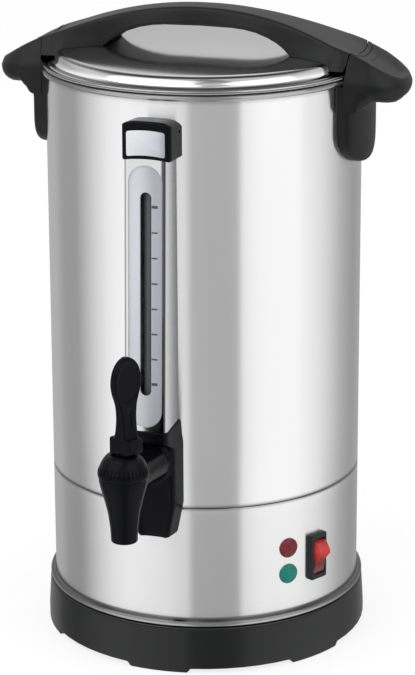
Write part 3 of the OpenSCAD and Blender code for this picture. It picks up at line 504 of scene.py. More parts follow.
def gauge_metal(name):
    """Polished channel with painted light: a painted reflection of the room's dark side along its right bend,
    and painted shade on its left bend and along its side walls.
    """
    mat, tree, shader = new_material(name)
    axes = object_axes(tree)
    # painted light across the face: painted shade on the left bend, a dark painted reflection along the right
    # bend
    front = [
        (-0.0155, (0.42, 0.42, 0.43)), (-0.0143, (0.62, 0.62, 0.64)), (-0.0125, (0.80, 0.80, 0.81)),
        (0.0085, (0.80, 0.80, 0.81)), (0.0098, (0.11, 0.11, 0.115)), (0.0112, (0.13, 0.13, 0.135)),
        (0.0123, (0.70, 0.70, 0.71)), (0.0145, (0.72, 0.72, 0.73)),
    ]
    depth = minus(tree, axes["Y"], times(tree, axes["Z"], math.tan(LEAN)))
    foot = MM * (GAUGE_Y - CAP_Z * math.tan(LEAN))
    # painted shade on the side walls, deepening from the front towards the body
    side = [
        (foot, (1.0, 1.0, 1.0)), (foot + 0.004, (0.78, 0.78, 0.78)),
        (foot + 0.010, (0.56, 0.56, 0.57)), (foot + 0.02, (0.46, 0.46, 0.47)),
    ]
    tone = mix(tree, 1.0, blend_along(tree, axes["X"], front), blend_along(tree, depth, side), "MULTIPLY")
    gloss = ramp(tree, noise(tree, 40.0, 4.0), 0.10, 0.16)
    feed(tree, shader, {"Metallic": 1.0, "Base Color": tone, "Roughness": gloss})
    return mat


# places and sizes of the printed marks, in metres; the middle and the thicknesses are in mark steps
MARK_X = 0.0047
MARK_HALF = 0.0019
MARK_FIRST_Z = 0.19665
MARK_STEP = 0.01579
MARKS_MIDDLE = 3.5
MARK_THICK = 0.032
END_MARK_MORE = 0.026
MARKS_LOW_Z = 0.192
MARKS_HIGH_Z = 0.312


def gauge_marks(tree, axes):
    """1 on the eight printed marks and 0 beside them; the first and the last are bolder."""
    off = apart(tree, axes["X"], MARK_X)
    inside = math_node(tree, "LESS_THAN", off, MARK_HALF)
    turn = math_node(tree, "DIVIDE", minus(tree, axes["Z"], MARK_FIRST_Z), MARK_STEP)
    from_mark = apart(tree, turn, math_node(tree, "ROUND", turn))
    from_middle = apart(tree, turn, MARKS_MIDDLE)
    more = times(tree, math_node(tree, "GREATER_THAN", from_middle, 3.2), END_MARK_MORE)
    near = math_node(tree, "LESS_THAN", from_mark, plus(tree, more, MARK_THICK))
    below = math_node(tree, "LESS_THAN", axes["Z"], MARKS_HIGH_Z)
    above = math_node(tree, "GREATER_THAN", axes["Z"], MARKS_LOW_Z)
    on_mark = times(tree, inside, near)
    return times(tree, on_mark, times(tree, below, above))


def scale_plastic(name):
    """The gauge's plate: lilac, with painted shade going from a lit tone on its left to a dim tone on its
    right, and the eight marks printed on it.
    """
    mat, tree, shader = new_material(name)
    axes = object_axes(tree)
    soft = noise(tree, 30.0, 3.0)
    # painted shade: the plate goes from its lit tone on the left to its dim tone on the right
    shade = map_range(tree, axes["X"], -0.007, 0.006, kind="SMOOTHSTEP")
    lit = mix(tree, soft, (0.60, 0.60, 0.655), (0.66, 0.66, 0.71))
    dim = mix(tree, soft, (0.37, 0.375, 0.42), (0.42, 0.425, 0.47))
    printed = mix(tree, gauge_marks(tree, axes), mix(tree, shade, lit, dim), (0.07, 0.08, 0.13))
    feed(tree, shader, {"Base Color": printed, "Roughness": 0.32})
    bump(tree, shader, noise(tree, 1800.0, 2.0), 0.05, 0.0001)
    return mat


# painted shade and painted reflection of the steel's beads, seams and lid steps: (height in millimetres,
# share of its own tone)
FOOT_PAINTED_LIGHT = [
    (30.6, 0.12), (31.4, 0.42), (32.2, 0.60), (33.0, 0.46), (33.9, 0.27), (34.7, 0.12), (35.4, 0.08),
    (36.1, 0.38), (36.9, 0.85), (40, 0.88), (100.0, 0.92), (108.0, 0.95), (109.0, 0.62), (109.7, 0.25),
]
TANK_PAINTED_LIGHT = [
    (110.0, 0.22), (110.7, 0.34), (111.6, 0.85), (112.6, 1.0), (366.5, 1.0), (368.6, 0.78), (369.6, 0.52),
    (371.4, 0.55), (372.2, 0.30), (372.8, 0.08),
]
# on the lid: painted reflection, bright and dark rings on its step and round the dome
LID_PAINTED_LIGHT = [
    (374.4, 0.10), (374.7, 0.45), (375.2, 0.66), (375.6, 0.30), (375.75, 0.10), (376.25, 0.13),
    (376.6, 0.9), (377.6, 1.0), (379.4, 0.62), (380.9, 0.50), (381.4, 0.10), (381.95, 0.10),
    (382.12, 0.72), (382.6, 0.90), (385.0, 0.96),
]

# name: tone from and to, roughness from and to, streak, scale of the patches, dents
STEELS = {
    "bright_steel": ((0.83, 0.83, 0.835), (0.89, 0.89, 0.895), 0.035, 0.075, (1, 1, 1), 30.0),
    "plain_steel": ((0.55, 0.55, 0.56), (0.68, 0.68, 0.69), 0.25, 0.38, (1, 1, 1), 90.0, 0.1),
    "grey_steel": ((0.40, 0.41, 0.43), (0.50, 0.51, 0.53), 0.3, 0.45, (1, 1, 1), 70.0, 0.1),
    "dark_pin": ((0.02, 0.02, 0.022), (0.03, 0.03, 0.033), 0.35, 0.45, (1, 1, 1), 90.0),
    "aluminium_plate": ((0.60, 0.60, 0.61), (0.72, 0.72, 0.73), 0.35, 0.5, (1, 6, 1), 60.0, 0.1),
    "element_sheath": ((0.30, 0.28, 0.26), (0.42, 0.40, 0.38), 0.35, 0.5, (1, 1, 1), 80.0, 0.1),
    "brass_blade": ((0.60, 0.42, 0.16), (0.74, 0.54, 0.24), 0.25, 0.4, (1, 1, 1), 80.0, 0.05),
}
# name: tone from and to, roughness from and to, grain, gloss
PLASTICS = {
    "black_plastic": ((0.003, 0.0033, 0.0036), (0.0045, 0.0049, 0.0053), 0.36, 0.44, 0.06, 0.28),
    "gloss_black": ((0.003, 0.0032, 0.0042), (0.004, 0.0043, 0.0056), 0.17, 0.23, 0.02, 0.075),
    "base_plastic": ((0.002, 0.0025, 0.0025), (0.0035, 0.004, 0.004), 0.22, 0.28, 0.03, 0.46),
    "dark_rubber": ((0.02, 0.02, 0.021), (0.03, 0.03, 0.032), 0.6, 0.75, 0.12),
    "silicone": ((0.62, 0.62, 0.60), (0.70, 0.70, 0.68), 0.45, 0.6, 0.05),
    "white_plastic": ((0.70, 0.70, 0.68), (0.78, 0.78, 0.76), 0.35, 0.5, 0.05),
    "ceramic_body": ((0.55, 0.50, 0.42), (0.65, 0.60, 0.52), 0.5, 0.65, 0.1),
    "wire_sleeve": ((0.22, 0.03, 0.025), (0.30, 0.04, 0.03), 0.45, 0.6, 0.05),
    "switch_black": ((0.010, 0.016, 0.015), (0.014, 0.021, 0.020), 0.35, 0.45, 0.06, 0.25),
}
LID_TONES = ((0.92, 0.92, 0.92), (0.96, 0.96, 0.965), 0.08, 0.13, (1, 1, 1), 30.0)
MATERIALS = {
    "polished_steel": body_steel("polished_steel"),
    "tank_steel": body_steel("tank_steel", TANK_PAINTED_LIGHT),
    "foot_steel": body_steel("foot_steel", FOOT_PAINTED_LIGHT),
    "lid_steel": steel("lid_steel", *LID_TONES, painted_light=LID_PAINTED_LIGHT),
    "gauge_steel": gauge_metal("gauge_steel"),
    "silver_plate": badge_metal("silver_plate"),
    "scale_lilac": scale_plastic("scale_lilac"),
    "clear_tube": clear_plastic("clear_tube", (0.15, 0.15, 0.175), 0.28, 0.15),
    "rocker_red": rocker_plastic("rocker_red"),
    "lens_red": lens_plastic("lens_red", (0.085, 0.008, 0.012), (0.20, 0.022, 0.028), (0.6, 0.05, 0.06)),
    "lens_green": lens_plastic("lens_green", (0.002, 0.12, 0.09), (0.004, 0.24, 0.18), (0.02, 0.6, 0.45)),
    **{name: steel(name, *values) for name, values in STEELS.items()},
    **{name: plastic(name, *values) for name, values in PLASTICS.items()},
}


def dress_cad_nodes():
    """Every CAD node takes the procedural material of its slot; the lever pin takes dark steel instead."""
    slot_of = {row["node"]: row["material_slot"] for row in frame["record"]["subparts"]}
    for name, obj in NODES.items():
        obj.data.materials.clear()
        obj.data.materials.append(MATERIALS["dark_pin" if name == "lever_pin" else slot_of[name]])


# ---------- body ----------

def make_tank():
    """The upper vessel with its rolled rim and its floor."""
    inner = BODY_R - SHEET
    outer = [
        (BODY_R - 0.9, SEAM_Z), (BODY_R - 0.35, SEAM_Z + 0.05), (BODY_R - 0.08, SEAM_Z + 0.3),
        (BODY_R, SEAM_Z + 0.8),
    ]
    outer += [(BODY_R, z) for z in (150, 200, 250, 300, 350, 366)]
    outer += [(BODY_R, 369.2), (BODY_R + 0.05, 369.7)]
    bead = arc(BEAD_R - 2, RIM_Z - 2, 2, 232, 500, 30)
    top = [(inner + 0.25, RIM_Z - 0.9), (inner, RIM_Z - 1.4)]
    inside = [(inner, z) for z in (350, 250, 150)]
    foot = [(inner, 112), (inner - 0.3, 111), (inner - 0.9, 110.4), (inner - 0.9, 105.5)]
    foot += arc(inner - 2.4, 105.5, 1.5, 0, -90, 5) + [(0, 104), (0, 103.2), (BODY_R - 0.9, 103.2)]
    add_piece(
        "tank_shell", lathe(outer + bead + top + inside + foot), "urn", "tank_steel",
        ["tank"], merge=0.01,
    )


def make_housing():
    """The skirt under the tank, with a rolled bottom bead."""
    inner = BODY_R - SHEET
    profile = [(inner, BASE_H + 0.05)]
    profile += arc(BEAD_R - 2.5, BASE_H + 2.5, 2.45, -90, 108, 24)
    profile += [(BODY_R + 0.02, 35.6), (BODY_R, 36.2)]
    profile += [(BODY_R, z) for z in (50, 70, 90, 105)]
    profile += [(BODY_R, SEAM_Z - 1.0), (BODY_R - 0.1, SEAM_Z - 0.55), (BODY_R - 0.4, SEAM_Z - 0.28)]
    profile += [(inner, SEAM_Z - 0.25)]
    add_piece(
        "housing_shell", lathe(profile), "urn", "foot_steel", ["lower_housing"],
        merge=0.01,
    )


def make_base_ring():
    """The ring with six feet whose ends slant."""
    angles = []
    for k in range(6):
        middle = -90 + 60 * k
        angles += [middle + a for a in (-30, -24, -18, -13, -12.1, -11.9, -11.4, -10.8, -10.3, -10.1, -6, -2)]
        angles += [middle + a for a in (2, 6, 10.1, 10.3, 10.8, 11.4, 11.9, 12.1, 13, 18, 24)]
    rows = []
    for a in angles:
        off = abs((a + 90 + 30) % 60 - 30)
        lift = 2.7 * smooth_step(10.25, 11.9, off)
        foot = 1 - smooth_step(10.6, 12.4, off)
        out = FOOT_R
        profile = [(92, 0.02), (92.3, 0), (94.8, 0), (95, 0.02), (95.02, lift + 0.03)]
        profile += [(out - 1.5 - 0.8 * foot, lift)]
        profile += arc(out - 1.3, lift + 1.3, 1.3, -75, 0, 6)
        profile += [(out, lift + 2.4), (out, 9), (out - 0.16, 12), (out - 0.64, 20), (BEAD_R + 0.12, 28.6)]
        profile += [(BEAD_R, 29.7), (BEAD_R - 0.25, 30.25), (BEAD_R - 0.7, BASE_H), (80, BASE_H), (80, 28)]
        profile += [(101.8, 28), (101.8, 5.2), (92, 5.2)]
        rows.append(turned(profile, math.radians(a)))
    verts, faces = grid(rows, close_rows=True, close_cols=True)
    add_piece("base_ring_shell", (verts, faces), "urn", "base_plastic", ["base_ring"])


# ---------- lid ----------

def dome_height(r):
    """Height of the lid's dome at a radius."""
    return DOME_Z + DOME_H * (1 - (r / DOME_R) ** 2)


def make_lid():
    """The domed lid with its step and its skirt."""
    top = [(DOME_R * k / 24, dome_height(DOME_R * k / 24)) for k in range(24)]
    top += [
        (90.2, 382.0), (91.6, 381.5), (92.8, 380.5), (93.6, 379.3), (94.3, 378.1), (94.8, 377.2),
        (95.4, 376.6),
    ]
    top += [
        (96.3, 376.2), (97.4, 375.95), (98.4, 375.7), (99.0, 375.1), (99.5, 375.15), (100.0, 375.7),
        (100.6, 375.88),
    ]
    top += [(101.7, 375.9)] + arc(LID_R - 0.8, LID_Z + 0.8, 0.8, 75, -90, 10)
    under = [(101.3, LID_Z), (95.4, LID_Z), (95.4, 361.5), (95.0, 361.3), (94.6, 361.5), (94.6, 375.2)]
    inside = [(94.2, 376.2), (92.8, 378.6), (91.4, 380.6), (89.5, 381.3)]
    inside += [(DOME_R * k / 12, dome_height(DOME_R * k / 12) - SHEET) for k in range(11, -1, -1)]
    add_piece(
        "lid_dome", lathe(top + under + inside), "lid", "lid_steel", ["lid_shell"],
        merge=0.01,
    )


# ---------- handles ----------

BRIDGE_STRAIGHT = 84
EAR_REACH = 133.4
EAR_W = 31.0
EAR_FROM = 100.0
RIDGE_REACH = 131.8
# each handle table: (distance from the axis along X, half width, lift or height there)
RIDGE_HALF = [
    (0, 10.0), (33, 11.5), (58, 15.0), (67, 17.3), (75, 19.3), (82, 21.2), (90, 23.4), (97, 24.0),
    (103, 23.4), (112, 23.0),
]
RIDGE_LIFT = [
    (80, 0.0), (88, 0.3), (96, 1.1), (103, 2.0), (111, 2.5), (118, 2.7), (125, 3.0), (130, 3.6),
    (134, 4.6),
]
FOOT_HALF = [(0, 12.0), (54, 17.0), (76, 24.0), (90, 30.4), (98, 31.0), (106, 31.0)]
UNDER_Z = [
    (0, 398.0), (22, 398.0), (30, 397.4), (38, 395.9), (46, 393.2), (52, 390.2), (58, 386.2), (63, 381.6),
    (66, 378.0),
]


def crown(x):
    """Height of the arch that the handles follow."""
    return CROWN_Z - CROWN_ARC_R + math.sqrt(CROWN_ARC_R ** 2 - x * x)


def curve_point(a, b, c, t):
    """Point on a round corner from a to c that turns at b."""
    return tuple((1 - t) ** 2 * p + 2 * t * (1 - t) * q + t * t * r for p, q, r in zip(a, b, c))


def lid_surface(r):
    """Height of the lid where a handle rests on it."""
    if r < DOME_R:
        return dome_height(r)
    return along([(DOME_R, 381.95), (92.8, 380.6), (94.3, 378.2), (95.8, 376.4), (99, 376.1)], r)


def dished(x, y, half):
    """Height of a handle's top: it sinks between its ridges towards the ears."""
    lift = along(RIDGE_LIFT, abs(x)) * smooth_step(0.35, 1.0, abs(y) / half)
    fall = 0.35 * (1 - smooth_step(60, 90, abs(x))) * (y / half) ** 2
    return crown(x) + lift - fall


def bridge_section(x):
    """Half of the bridge handle's section, from the middle of its top to the middle of its underside."""
    far = abs(x)
    ridge = along(RIDGE_HALF, far)
    foot = along(FOOT_HALF, far)
    under = along(UNDER_Z, far)
    free = 1 - smooth_step(56, 66, far)
    top = [(ridge * k, dished(x, ridge * k, ridge)) for k in (0, 0.3, 0.55, 0.75)]
    edge_z = dished(x, ridge, ridge)
    low_z = max(under, lid_surface(min(math.hypot(x, foot), 99)) + 0.05)
    drop = edge_z - low_z

    def side(t):
        flare = 1 + 0.5 * smooth_step(55, 75, far)
        return (ridge + (foot - ridge) * t ** flare, edge_z - drop * t)

    first = (ridge - 2.2, dished(x, ridge - 2.2, ridge))
    second = side(min(0.35, 2.4 / drop))
    round_top = [curve_point(first, (ridge, edge_z), second, t) for t in (0, 0.25, 0.5, 0.75, 1)]
    walls = [side(t) for t in (0.38, 0.52, 0.66, 0.8)]
    cut = 0.3 + 2.0 * free
    third = side(1 - cut / drop)
    fourth = (foot - cut, low_z)
    round_low = [curve_point(third, (foot, low_z), fourth, t) for t in (0, 0.3, 0.6, 1)]
    bottom = []
    for k in (0.85, 0.6, 0.3, 0):
        y = (foot - cut) * k
        bottom.append((y, max(under, lid_surface(min(math.hypot(x, y), 99)) + 0.05)))
    return top + round_top + walls + round_low + bottom


def make_bridge():
    """Bridge handle, cut round at both ends where the side handles begin."""
    half = [
        0, 8, 16, 22, 26, 30, 34, 38, 42, 46, 49, 52, 54.5, 57, 59, 61, 62.5, 64, 66, 68, 70.5, 73, 76,
        79, 82, 85, 88, 90.5, 93, 95, 96.5, 98, 99.5, 101, 102, 102.6,
    ]
    stations = [-x for x in half[:0:-1]] + half
    last = half[-1]
    end = LID_R + 0.1
    rows = []
    for x in stations:
        section = bridge_section(x)
        loop = section + [(-y, z) for y, z in section[-2:0:-1]]
        share = max(0.0, (abs(x) - BRIDGE_STRAIGHT) / (last - BRIDGE_STRAIGHT))
        row = []
        for y, z in loop:
            at = math.sqrt(end ** 2 - y * y)
            reach = abs(x) if abs(x) <= BRIDGE_STRAIGHT else BRIDGE_STRAIGHT + (at - BRIDGE_STRAIGHT) * share
            row.append((math.copysign(reach, x), y, z + crown(reach) - crown(x) if z > 383 else z))
        rows.append(row)
    verts, faces = grid(rows, close_cols=True)
    wide = len(rows[0])
    faces.append(tuple(range(wide - 1, -1, -1)))
    faces.append(tuple(range(len(verts) - wide, len(verts))))
    add_piece(
        "bridge_handle", (verts, faces), "lid", "black_plastic", ["lid_handle"], 50,
        merge=0.02,
    )


def ear_edge(t, reach, half, power):
    """Point of a blunt round outline: t is 90 at its side and 0 at its tip."""
    a = math.radians(t)
    out = (reach - EAR_FROM) * abs(math.cos(a)) ** (2 / power)
    return (EAR_FROM + out, half * abs(math.sin(a)) ** (2 / power))


def ear_row(x, tip_angle):
    """Outline point, ridge point and spine of one row of the side handle, on its +Y side."""
    if tip_angle is None:
        out = EAR_W * (1 - ((x - EAR_FROM) / (EAR_REACH - EAR_FROM)) ** 2.5) ** 0.4
        return (x, out), (x, along(RIDGE_HALF, x)), x
    edge = ear_edge(tip_angle, EAR_REACH, EAR_W, 2.5)
    ridge = ear_edge(tip_angle, RIDGE_REACH, 24.3, 2.7)
    return edge, ridge, 112 + 0.4 * (edge[0] - 112)


def ear_top(x, y, ridge_half):
    """Dished top with the raised band and the two arcs that run round the urn's axis."""
    z = crown(x) + along(RIDGE_LIFT, x) * smooth_step(0.25, 1.0, ridge_half)
    r = math.hypot(x, y)
    z += 0.35 * (smooth_step(103.3, 103.6, r) - smooth_step(105.7, 105.95, r))
    z -= 0.55 * (smooth_step(105.8, 106.05, r) - smooth_step(106.35, 106.6, r))
    short_arc = smooth_step(110.7, 110.9, r) - smooth_step(111.2, 111.4, r)
    z -= 0.5 * short_arc * (1 - smooth_step(9.5, 11, abs(y)))
    return z


def ear_points(x, tip_angle, side):
    """One row of the side handle, from the top of its spine round its edge to the bottom of its spine."""
    edge, ridge, spine = ear_row(x, tip_angle)
    pull = 1 - smooth_step(103.3, 118, x) if tip_angle is None else 0.0

    def place(point, z):
        px, py = point
        px -= pull * (px - math.sqrt(max(px * px - py * py, 1.0)))
        return (px, side * py, z)

    def toward(frac):
        return between((spine, 0.0), ridge, frac)

    row = []
    for frac in (0, 0.15, 0.3, 0.45, 0.6, 0.72, 0.82):
        p = toward(frac)
        x_here = place(p, 0)[0]
        row.append(place(p, ear_top(x_here, p[1], frac)))
    ridge_x = place(ridge, 0)[0]
    ridge_z = crown(ridge_x) + along(RIDGE_LIFT, ridge_x)
    mid_z = along([(103, 370.0), (120, 369.0), (134, 367.0)], edge[0])
    inside = toward(0.9)
    first = (*inside, ear_top(place(inside, 0)[0], inside[1], 0.9))
    corner = (*ridge, ridge_z)
    second = between(corner, (*edge, mid_z), 0.22)
    for t in (0, 0.25, 0.5, 0.75, 1):
        px, py, pz = curve_point(first, corner, second, t)
        row.append(place((px, py), pz))
    for t in (0.4, 0.6, 0.8, 1.0):
        row.append(place(between(ridge, edge, t ** 0.85), ridge_z + (mid_z - ridge_z) * t))
    deep = math.hypot(edge[0] - spine, edge[1])
    fill = smooth_step(108, 117, edge[0])
    low_z = 356.9 - 4.0 * (1 - smooth_step(107.5, 115, edge[0]))
    for inset, z in ((0.2, -2.3), (0.9, -4.6), (2.3, -6.8), (4.6, -8.8), (8.0, -10.6), (13.0, -11.8)):
        share = min(0.9, inset / deep) * fill
        point = between(edge, (spine, 0.0), share)
        z_full = mid_z + z
        z_straight = mid_z + (low_z - mid_z) * (-z / 11.8)
        row.append(place(point, z_full + (z_straight - z_full) * (1 - fill)))
    for frac in (0.4, 0.0):
        point = between((spine, 0.0), edge, frac)
        row.append(place(point, low_z))
    return row


def make_ear(name, node, turn):
    """A side handle with its tongue, turned to its side of the urn."""
    straight = [
        103.2, 103.35, 103.5, 103.7, 104.4, 105.1, 105.6, 105.75, 105.9, 106.05, 106.2, 106.35, 106.5,
        106.65, 107.2, 108, 109, 110, 110.6, 110.75, 110.9, 111.05, 111.2, 111.35, 111.5,
    ]
    tips = [
        73, 70.5, 68, 65, 62, 59, 56, 52.5, 49, 45.5, 42, 38, 34, 30, 26, 22, 18, 14, 10, 7, 4.5, 2.5,
        1.0, 0.0,
    ]
    rows = [ear_points(x, None, -1) for x in straight]
    rows += [ear_points(0, t, -1) for t in tips]
    rows += [ear_points(0, t, 1) for t in tips[-2::-1]]
    rows += [ear_points(x, None, 1) for x in straight[::-1]]
    verts, faces = grid(rows)
    faces.append(back_face(verts, len(rows[0])))
    verts, faces = joined((verts, faces), tongue_surface())
    verts = [swing(*point, turn) for point in verts]
    mesh = mesh_of(name, verts, faces, 0.02)
    finish_piece(name, mesh, "urn", "black_plastic", [node], 50)


def tongue_surface():
    """The tongue on the body: a plate with a round lower end and soft edges."""
    half, low, rise, top = 30.5, TONGUE_Z, 20.5, 368.6
    outline = [(-half, z) for z in (top, 364, 360, 357, 355, 353, 350, 346, 342, 339)]
    for a in range(180, 361, 6):
        turn = math.radians(a)
        outline.append((half * math.cos(turn), low + rise + rise * math.sin(turn)))
    outline += [(half, z) for z in (339, 342, 346, 350, 353, 355, 357, 360, 364, top)]
    levels = [
        (1.0, 100.15), (0.0, 100.15), (0.0, 104.6), (0.012, 105.8), (0.035, 106.9), (0.075, 107.9),
        (0.13, 108.55), (0.2, 108.85), (0.35, 109.0), (0.6, 109.0), (1.0, 109.0),
    ]
    rows = []
    for y, z in outline:
        middle = max(z, low + rise)
        row = []
        for share, r in levels:
            py, pz = y * (1 - share), z + (middle - z) * share
            rising = smooth_step(349.5, 357.5, pz) if share > 0.1 else 0.0
            flare = 4.5 * (1 - math.sqrt(max(0.0, 1 - rising ** 2)))
            reach = r + flare if r > 101 else r
            row.append((math.sqrt(reach ** 2 - py * py), py, pz))
        rows.append(row)
    verts, faces = grid(rows)
    faces.append(back_face(verts, len(levels)))
    return verts, faces


# ---------- level gauge ----------

WINDOW_R = 10.8
WINDOW_TOP_Z = 332.5
WINDOW_LOW_Z = 169.1
CAP_ROUND = 1.6
BADGE_Z = 345.6
BADGE_HALF = (12, 7.6)
BADGE_ARCH = 1.05
COVER_FOOT = [(-130.0, 165.47), (-90.0, 170.53)]


def lean(p):
    """Where the leaning gauge holds a point that is given upright."""
    x, y, z = p
    dy, dz = y - GAUGE_Y, z - CAP_Z
    c, s = math.cos(LEAN), math.sin(LEAN)
    return (x + GAUGE_X, GAUGE_Y + dy * c + dz * s, CAP_Z - dy * s + dz * c)


def cut(mesh, tools, operation="DIFFERENCE"):
    """A new mesh: the first one with the tools taken away."""
    work = [bpy.data.objects.new("work", item) for item in [mesh] + tools]
    for item in work:
        bpy.context.scene.collection.objects.link(item)
    for item in work[1:]:
        mod = work[0].modifiers.new("cut", "BOOLEAN")
        mod.operation = operation
        mod.solver = "EXACT"
        mod.object = item
    graph = bpy.context.evaluated_depsgraph_get()
    result = bpy.data.meshes.new_from_object(work[0].evaluated_get(graph))
    for item in work:
        bpy.data.objects.remove(item)
    return result


def make_gauge_cover():
    """The leaning channel, cut to the body and pierced by the window."""
    w, t = GAUGE_HALF, SHEET
    outline = [
        (-w - 1, -90), (-w, GAUGE_Y), (w, GAUGE_Y), (w + 1, -90),
        (w + 1 - t, -90), (w - t, GAUGE_Y + t), (-w + t, GAUGE_Y + t), (-w - 1 + t, -90),
    ]
    bent = rounded(outline, [0, 2.8, 2.8, 0, 0, 2.0, 2.0, 0], 8)
    channel = prism("gauge_cover_shell", bent, lambda p, z: lean((*p, z)), [155.0, 343.4])
    body = mesh_of("tool", *lathe([(0, 100), (100.15, 100), (100.15, 380), (0, 380)]))
    below = prism("tool", [(-130, 130)] + COVER_FOOT + [(-90, 130)], lambda p, x: (x, *p), [-20, 20])
    hole = arc(0, WINDOW_TOP_Z - WINDOW_R, WINDOW_R, 0, 180, 32)
    hole += arc(0, WINDOW_LOW_Z + WINDOW_R, WINDOW_R, 180, 360, 32)
    window = prism("tool", hole, lambda p, y: lean((p[0], y, p[1])), [-119, -111])
    mesh = cut(channel, [body, below, window])
    finish_piece("gauge_cover_shell", mesh, "urn", "gauge_steel", ["gauge_cover"], 35)


def cap_top(x, y):
    """Height of the gauge cap's top."""
    side = 353 + 7 * math.sqrt(max(0.0, 1 - (abs(x) / 17.3) ** 4))
    return side - 1.3 * smooth_step(-119, -95, y) - 0.3


def make_gauge_cap():
    """Cap with an arched lower edge, round shoulders and a top that falls towards the body."""
    sides = [
        (-17.1, -96), (-16.6, -101), (-16.2, -106), (-15.3, CAP_Y), (15.3, CAP_Y), (16.2, -106),
        (16.6, -101), (17.1, -96),
    ]
    plan = rounded(sides, [0, 0, 0, 3.4, 3.4, 0, 0, 0], 8)
    fine = in_steps(plan, 2.0) + [plan[-1]]
    rows = []
    for k, p in enumerate(fine):
        ahead = fine[min(k + 1, len(fine) - 1)]
        back = fine[max(k - 1, 0)]
        along_x, along_y = ahead[0] - back[0], ahead[1] - back[1]
        size = math.hypot(along_x, along_y)
        normal = (along_y / size, -along_x / size)

        def inward(d):
            return (p[0] - normal[0] * d, p[1] - normal[1] * d)

        spine = (0.0, min(max(p[1], -112.0), -97.0))
        low = CAP_Z + 1.1 * max(0.0, 1 - (p[0] / 14.5) ** 2)
        row = [
            (*spine, CAP_Z + 1.1), (*inward(3.0), low), (*inward(1.0), low), (*inward(0.3), low + 0.25),
            (*inward(0.0), low + 0.9),
        ]
        wall_top = cap_top(*inward(CAP_ROUND)) - CAP_ROUND
        row += [(*p, low + 4), (*p, 346), (*p, wall_top - 2), (*p, wall_top)]
        for turn in (15, 30, 45, 60, 75, 90):
            q = inward(CAP_ROUND * (1 - math.cos(math.radians(turn))))
            row.append((*q, min(cap_top(*q), wall_top + CAP_ROUND * math.sin(math.radians(turn)))))
        start = inward(CAP_ROUND)
        for f in (0.15, 0.35, 0.6, 0.8, 1.0):
            q = between(start, spine, f)
            row.append((*q, cap_top(*q)))
        rows.append(row)
    verts, faces = grid(rows)
    faces.append(back_face(verts, len(rows[0])))
    mesh = mesh_of("gauge_cap_body", verts, faces, 0.02)
    vent = prism("tool", arc(-102.5, 351.5, 1.2, 0, 345, 23), lambda q, x: (x, *q), [13.5, 19.0])
    cap = finish_piece(
        "gauge_cap_body", cut(mesh, [vent]), "urn", "gloss_black", ["gauge_cap"], 50,
    )
    cap.visible_glossy = False


def make_badge():
    """Blank plate with arched edges, set in the cap's face."""
    corners = [(-12.1, 338.0), (12.1, 338.0), (12.1, 353.3), (-12.1, 353.3)]
    points = rounded(corners, 1.5, 5)
    outline = in_steps(points + points[:1], 1.5)

    def place(p, level):
        inset, y = level
        x = p[0] * (1 - inset / BADGE_HALF[0])
        z = BADGE_Z + (p[1] - BADGE_Z) * (1 - inset / BADGE_HALF[1])
        return (x, y, z + BADGE_ARCH * (1 - (x / 12.2) ** 2))

    mesh = prism("badge", outline, place, [(0, -116.9), (0, CAP_Y - 0.08), (0.12, CAP_Y - 0.2)])
    finish_piece("badge", mesh, "urn", "silver_plate", ["badge_plate"], 50)


# ---------- tap ----------

BLOCK_LOW_Z = 93.7
BLOCK_SLANT_Z = 160
BLOCK_SLANT_H = 5.8
BLOCK_HALF = [(BLOCK_LOW_Z, 13.0), (114.7, 17.0), (154.0, 17.0), (172.0, 15.0)]
# outlines of the tap: TAP_CURVE in shares of width and height, BONNET_CURVE in (millimetres out, share)
TAP_CURVE = [
    (0, 0), (0.04, 0.155), (0.13, 0.3), (0.25, 0.44), (0.41, 0.56),
    (0.59, 0.68), (0.77, 0.79), (0.91, 0.885), (0.98, 0.955), (1, 1),
]
BONNET_CURVE = [
    (0.1, 0.0), (0.42, 0.04), (0.49, 0.1), (0.47, 0.18), (0.35, 0.27), (0.1, 0.33), (-0.35, 0.4),
    (-0.85, 0.48), (-1.5, 0.585), (-2.3, 0.69), (-3.2, 0.79), (-4.2, 0.88), (-5.2, 0.945), (-6.3, 0.985),
    (-7.4, 1.0),
]


def block_top(y):
    """Height of the slanted top of the block."""
    return 165.7 + 3.8 * (y + 125) / 30


def block_section(z):
    """Right half of the block's plan at one height, from its middle to its foot inside the body."""
    half = along(BLOCK_HALF, z)
    lip = smooth_step(153.0, 159.5, z)
    low = 1.3 * (1 - smooth_step(BLOCK_LOW_Z, 97.5, z))
    front = -112.0 - 9.0 * lip + low
    ridge = half - 2.9 + 0.1 * lip
    points = []
    for k in range(15):
        x = (ridge - 2.2) * k / 14
        hollow = 0.9 * (1 - lip) * (1 - (x / (ridge - 2.2)) ** 4)
        boss = 4.0 * (1 - smooth_step(11.4, 15.0, math.hypot(x, z - TAP_Z)))
        points.append((x, front + hollow - boss * (1 - lip)))
    for t in (0.2, 0.4, 0.6, 0.8, 1.0):
        points.append(curve_point((ridge - 2.2, front), (ridge, front), (ridge + 0.45, front + 3.2), t))
    for t in (0.3, 0.6, 1.0):
        points.append((ridge + 0.45 + (half - ridge - 0.45) * t, front + 3.2 + (-95 - front - 3.2) * t))
    return points, lip


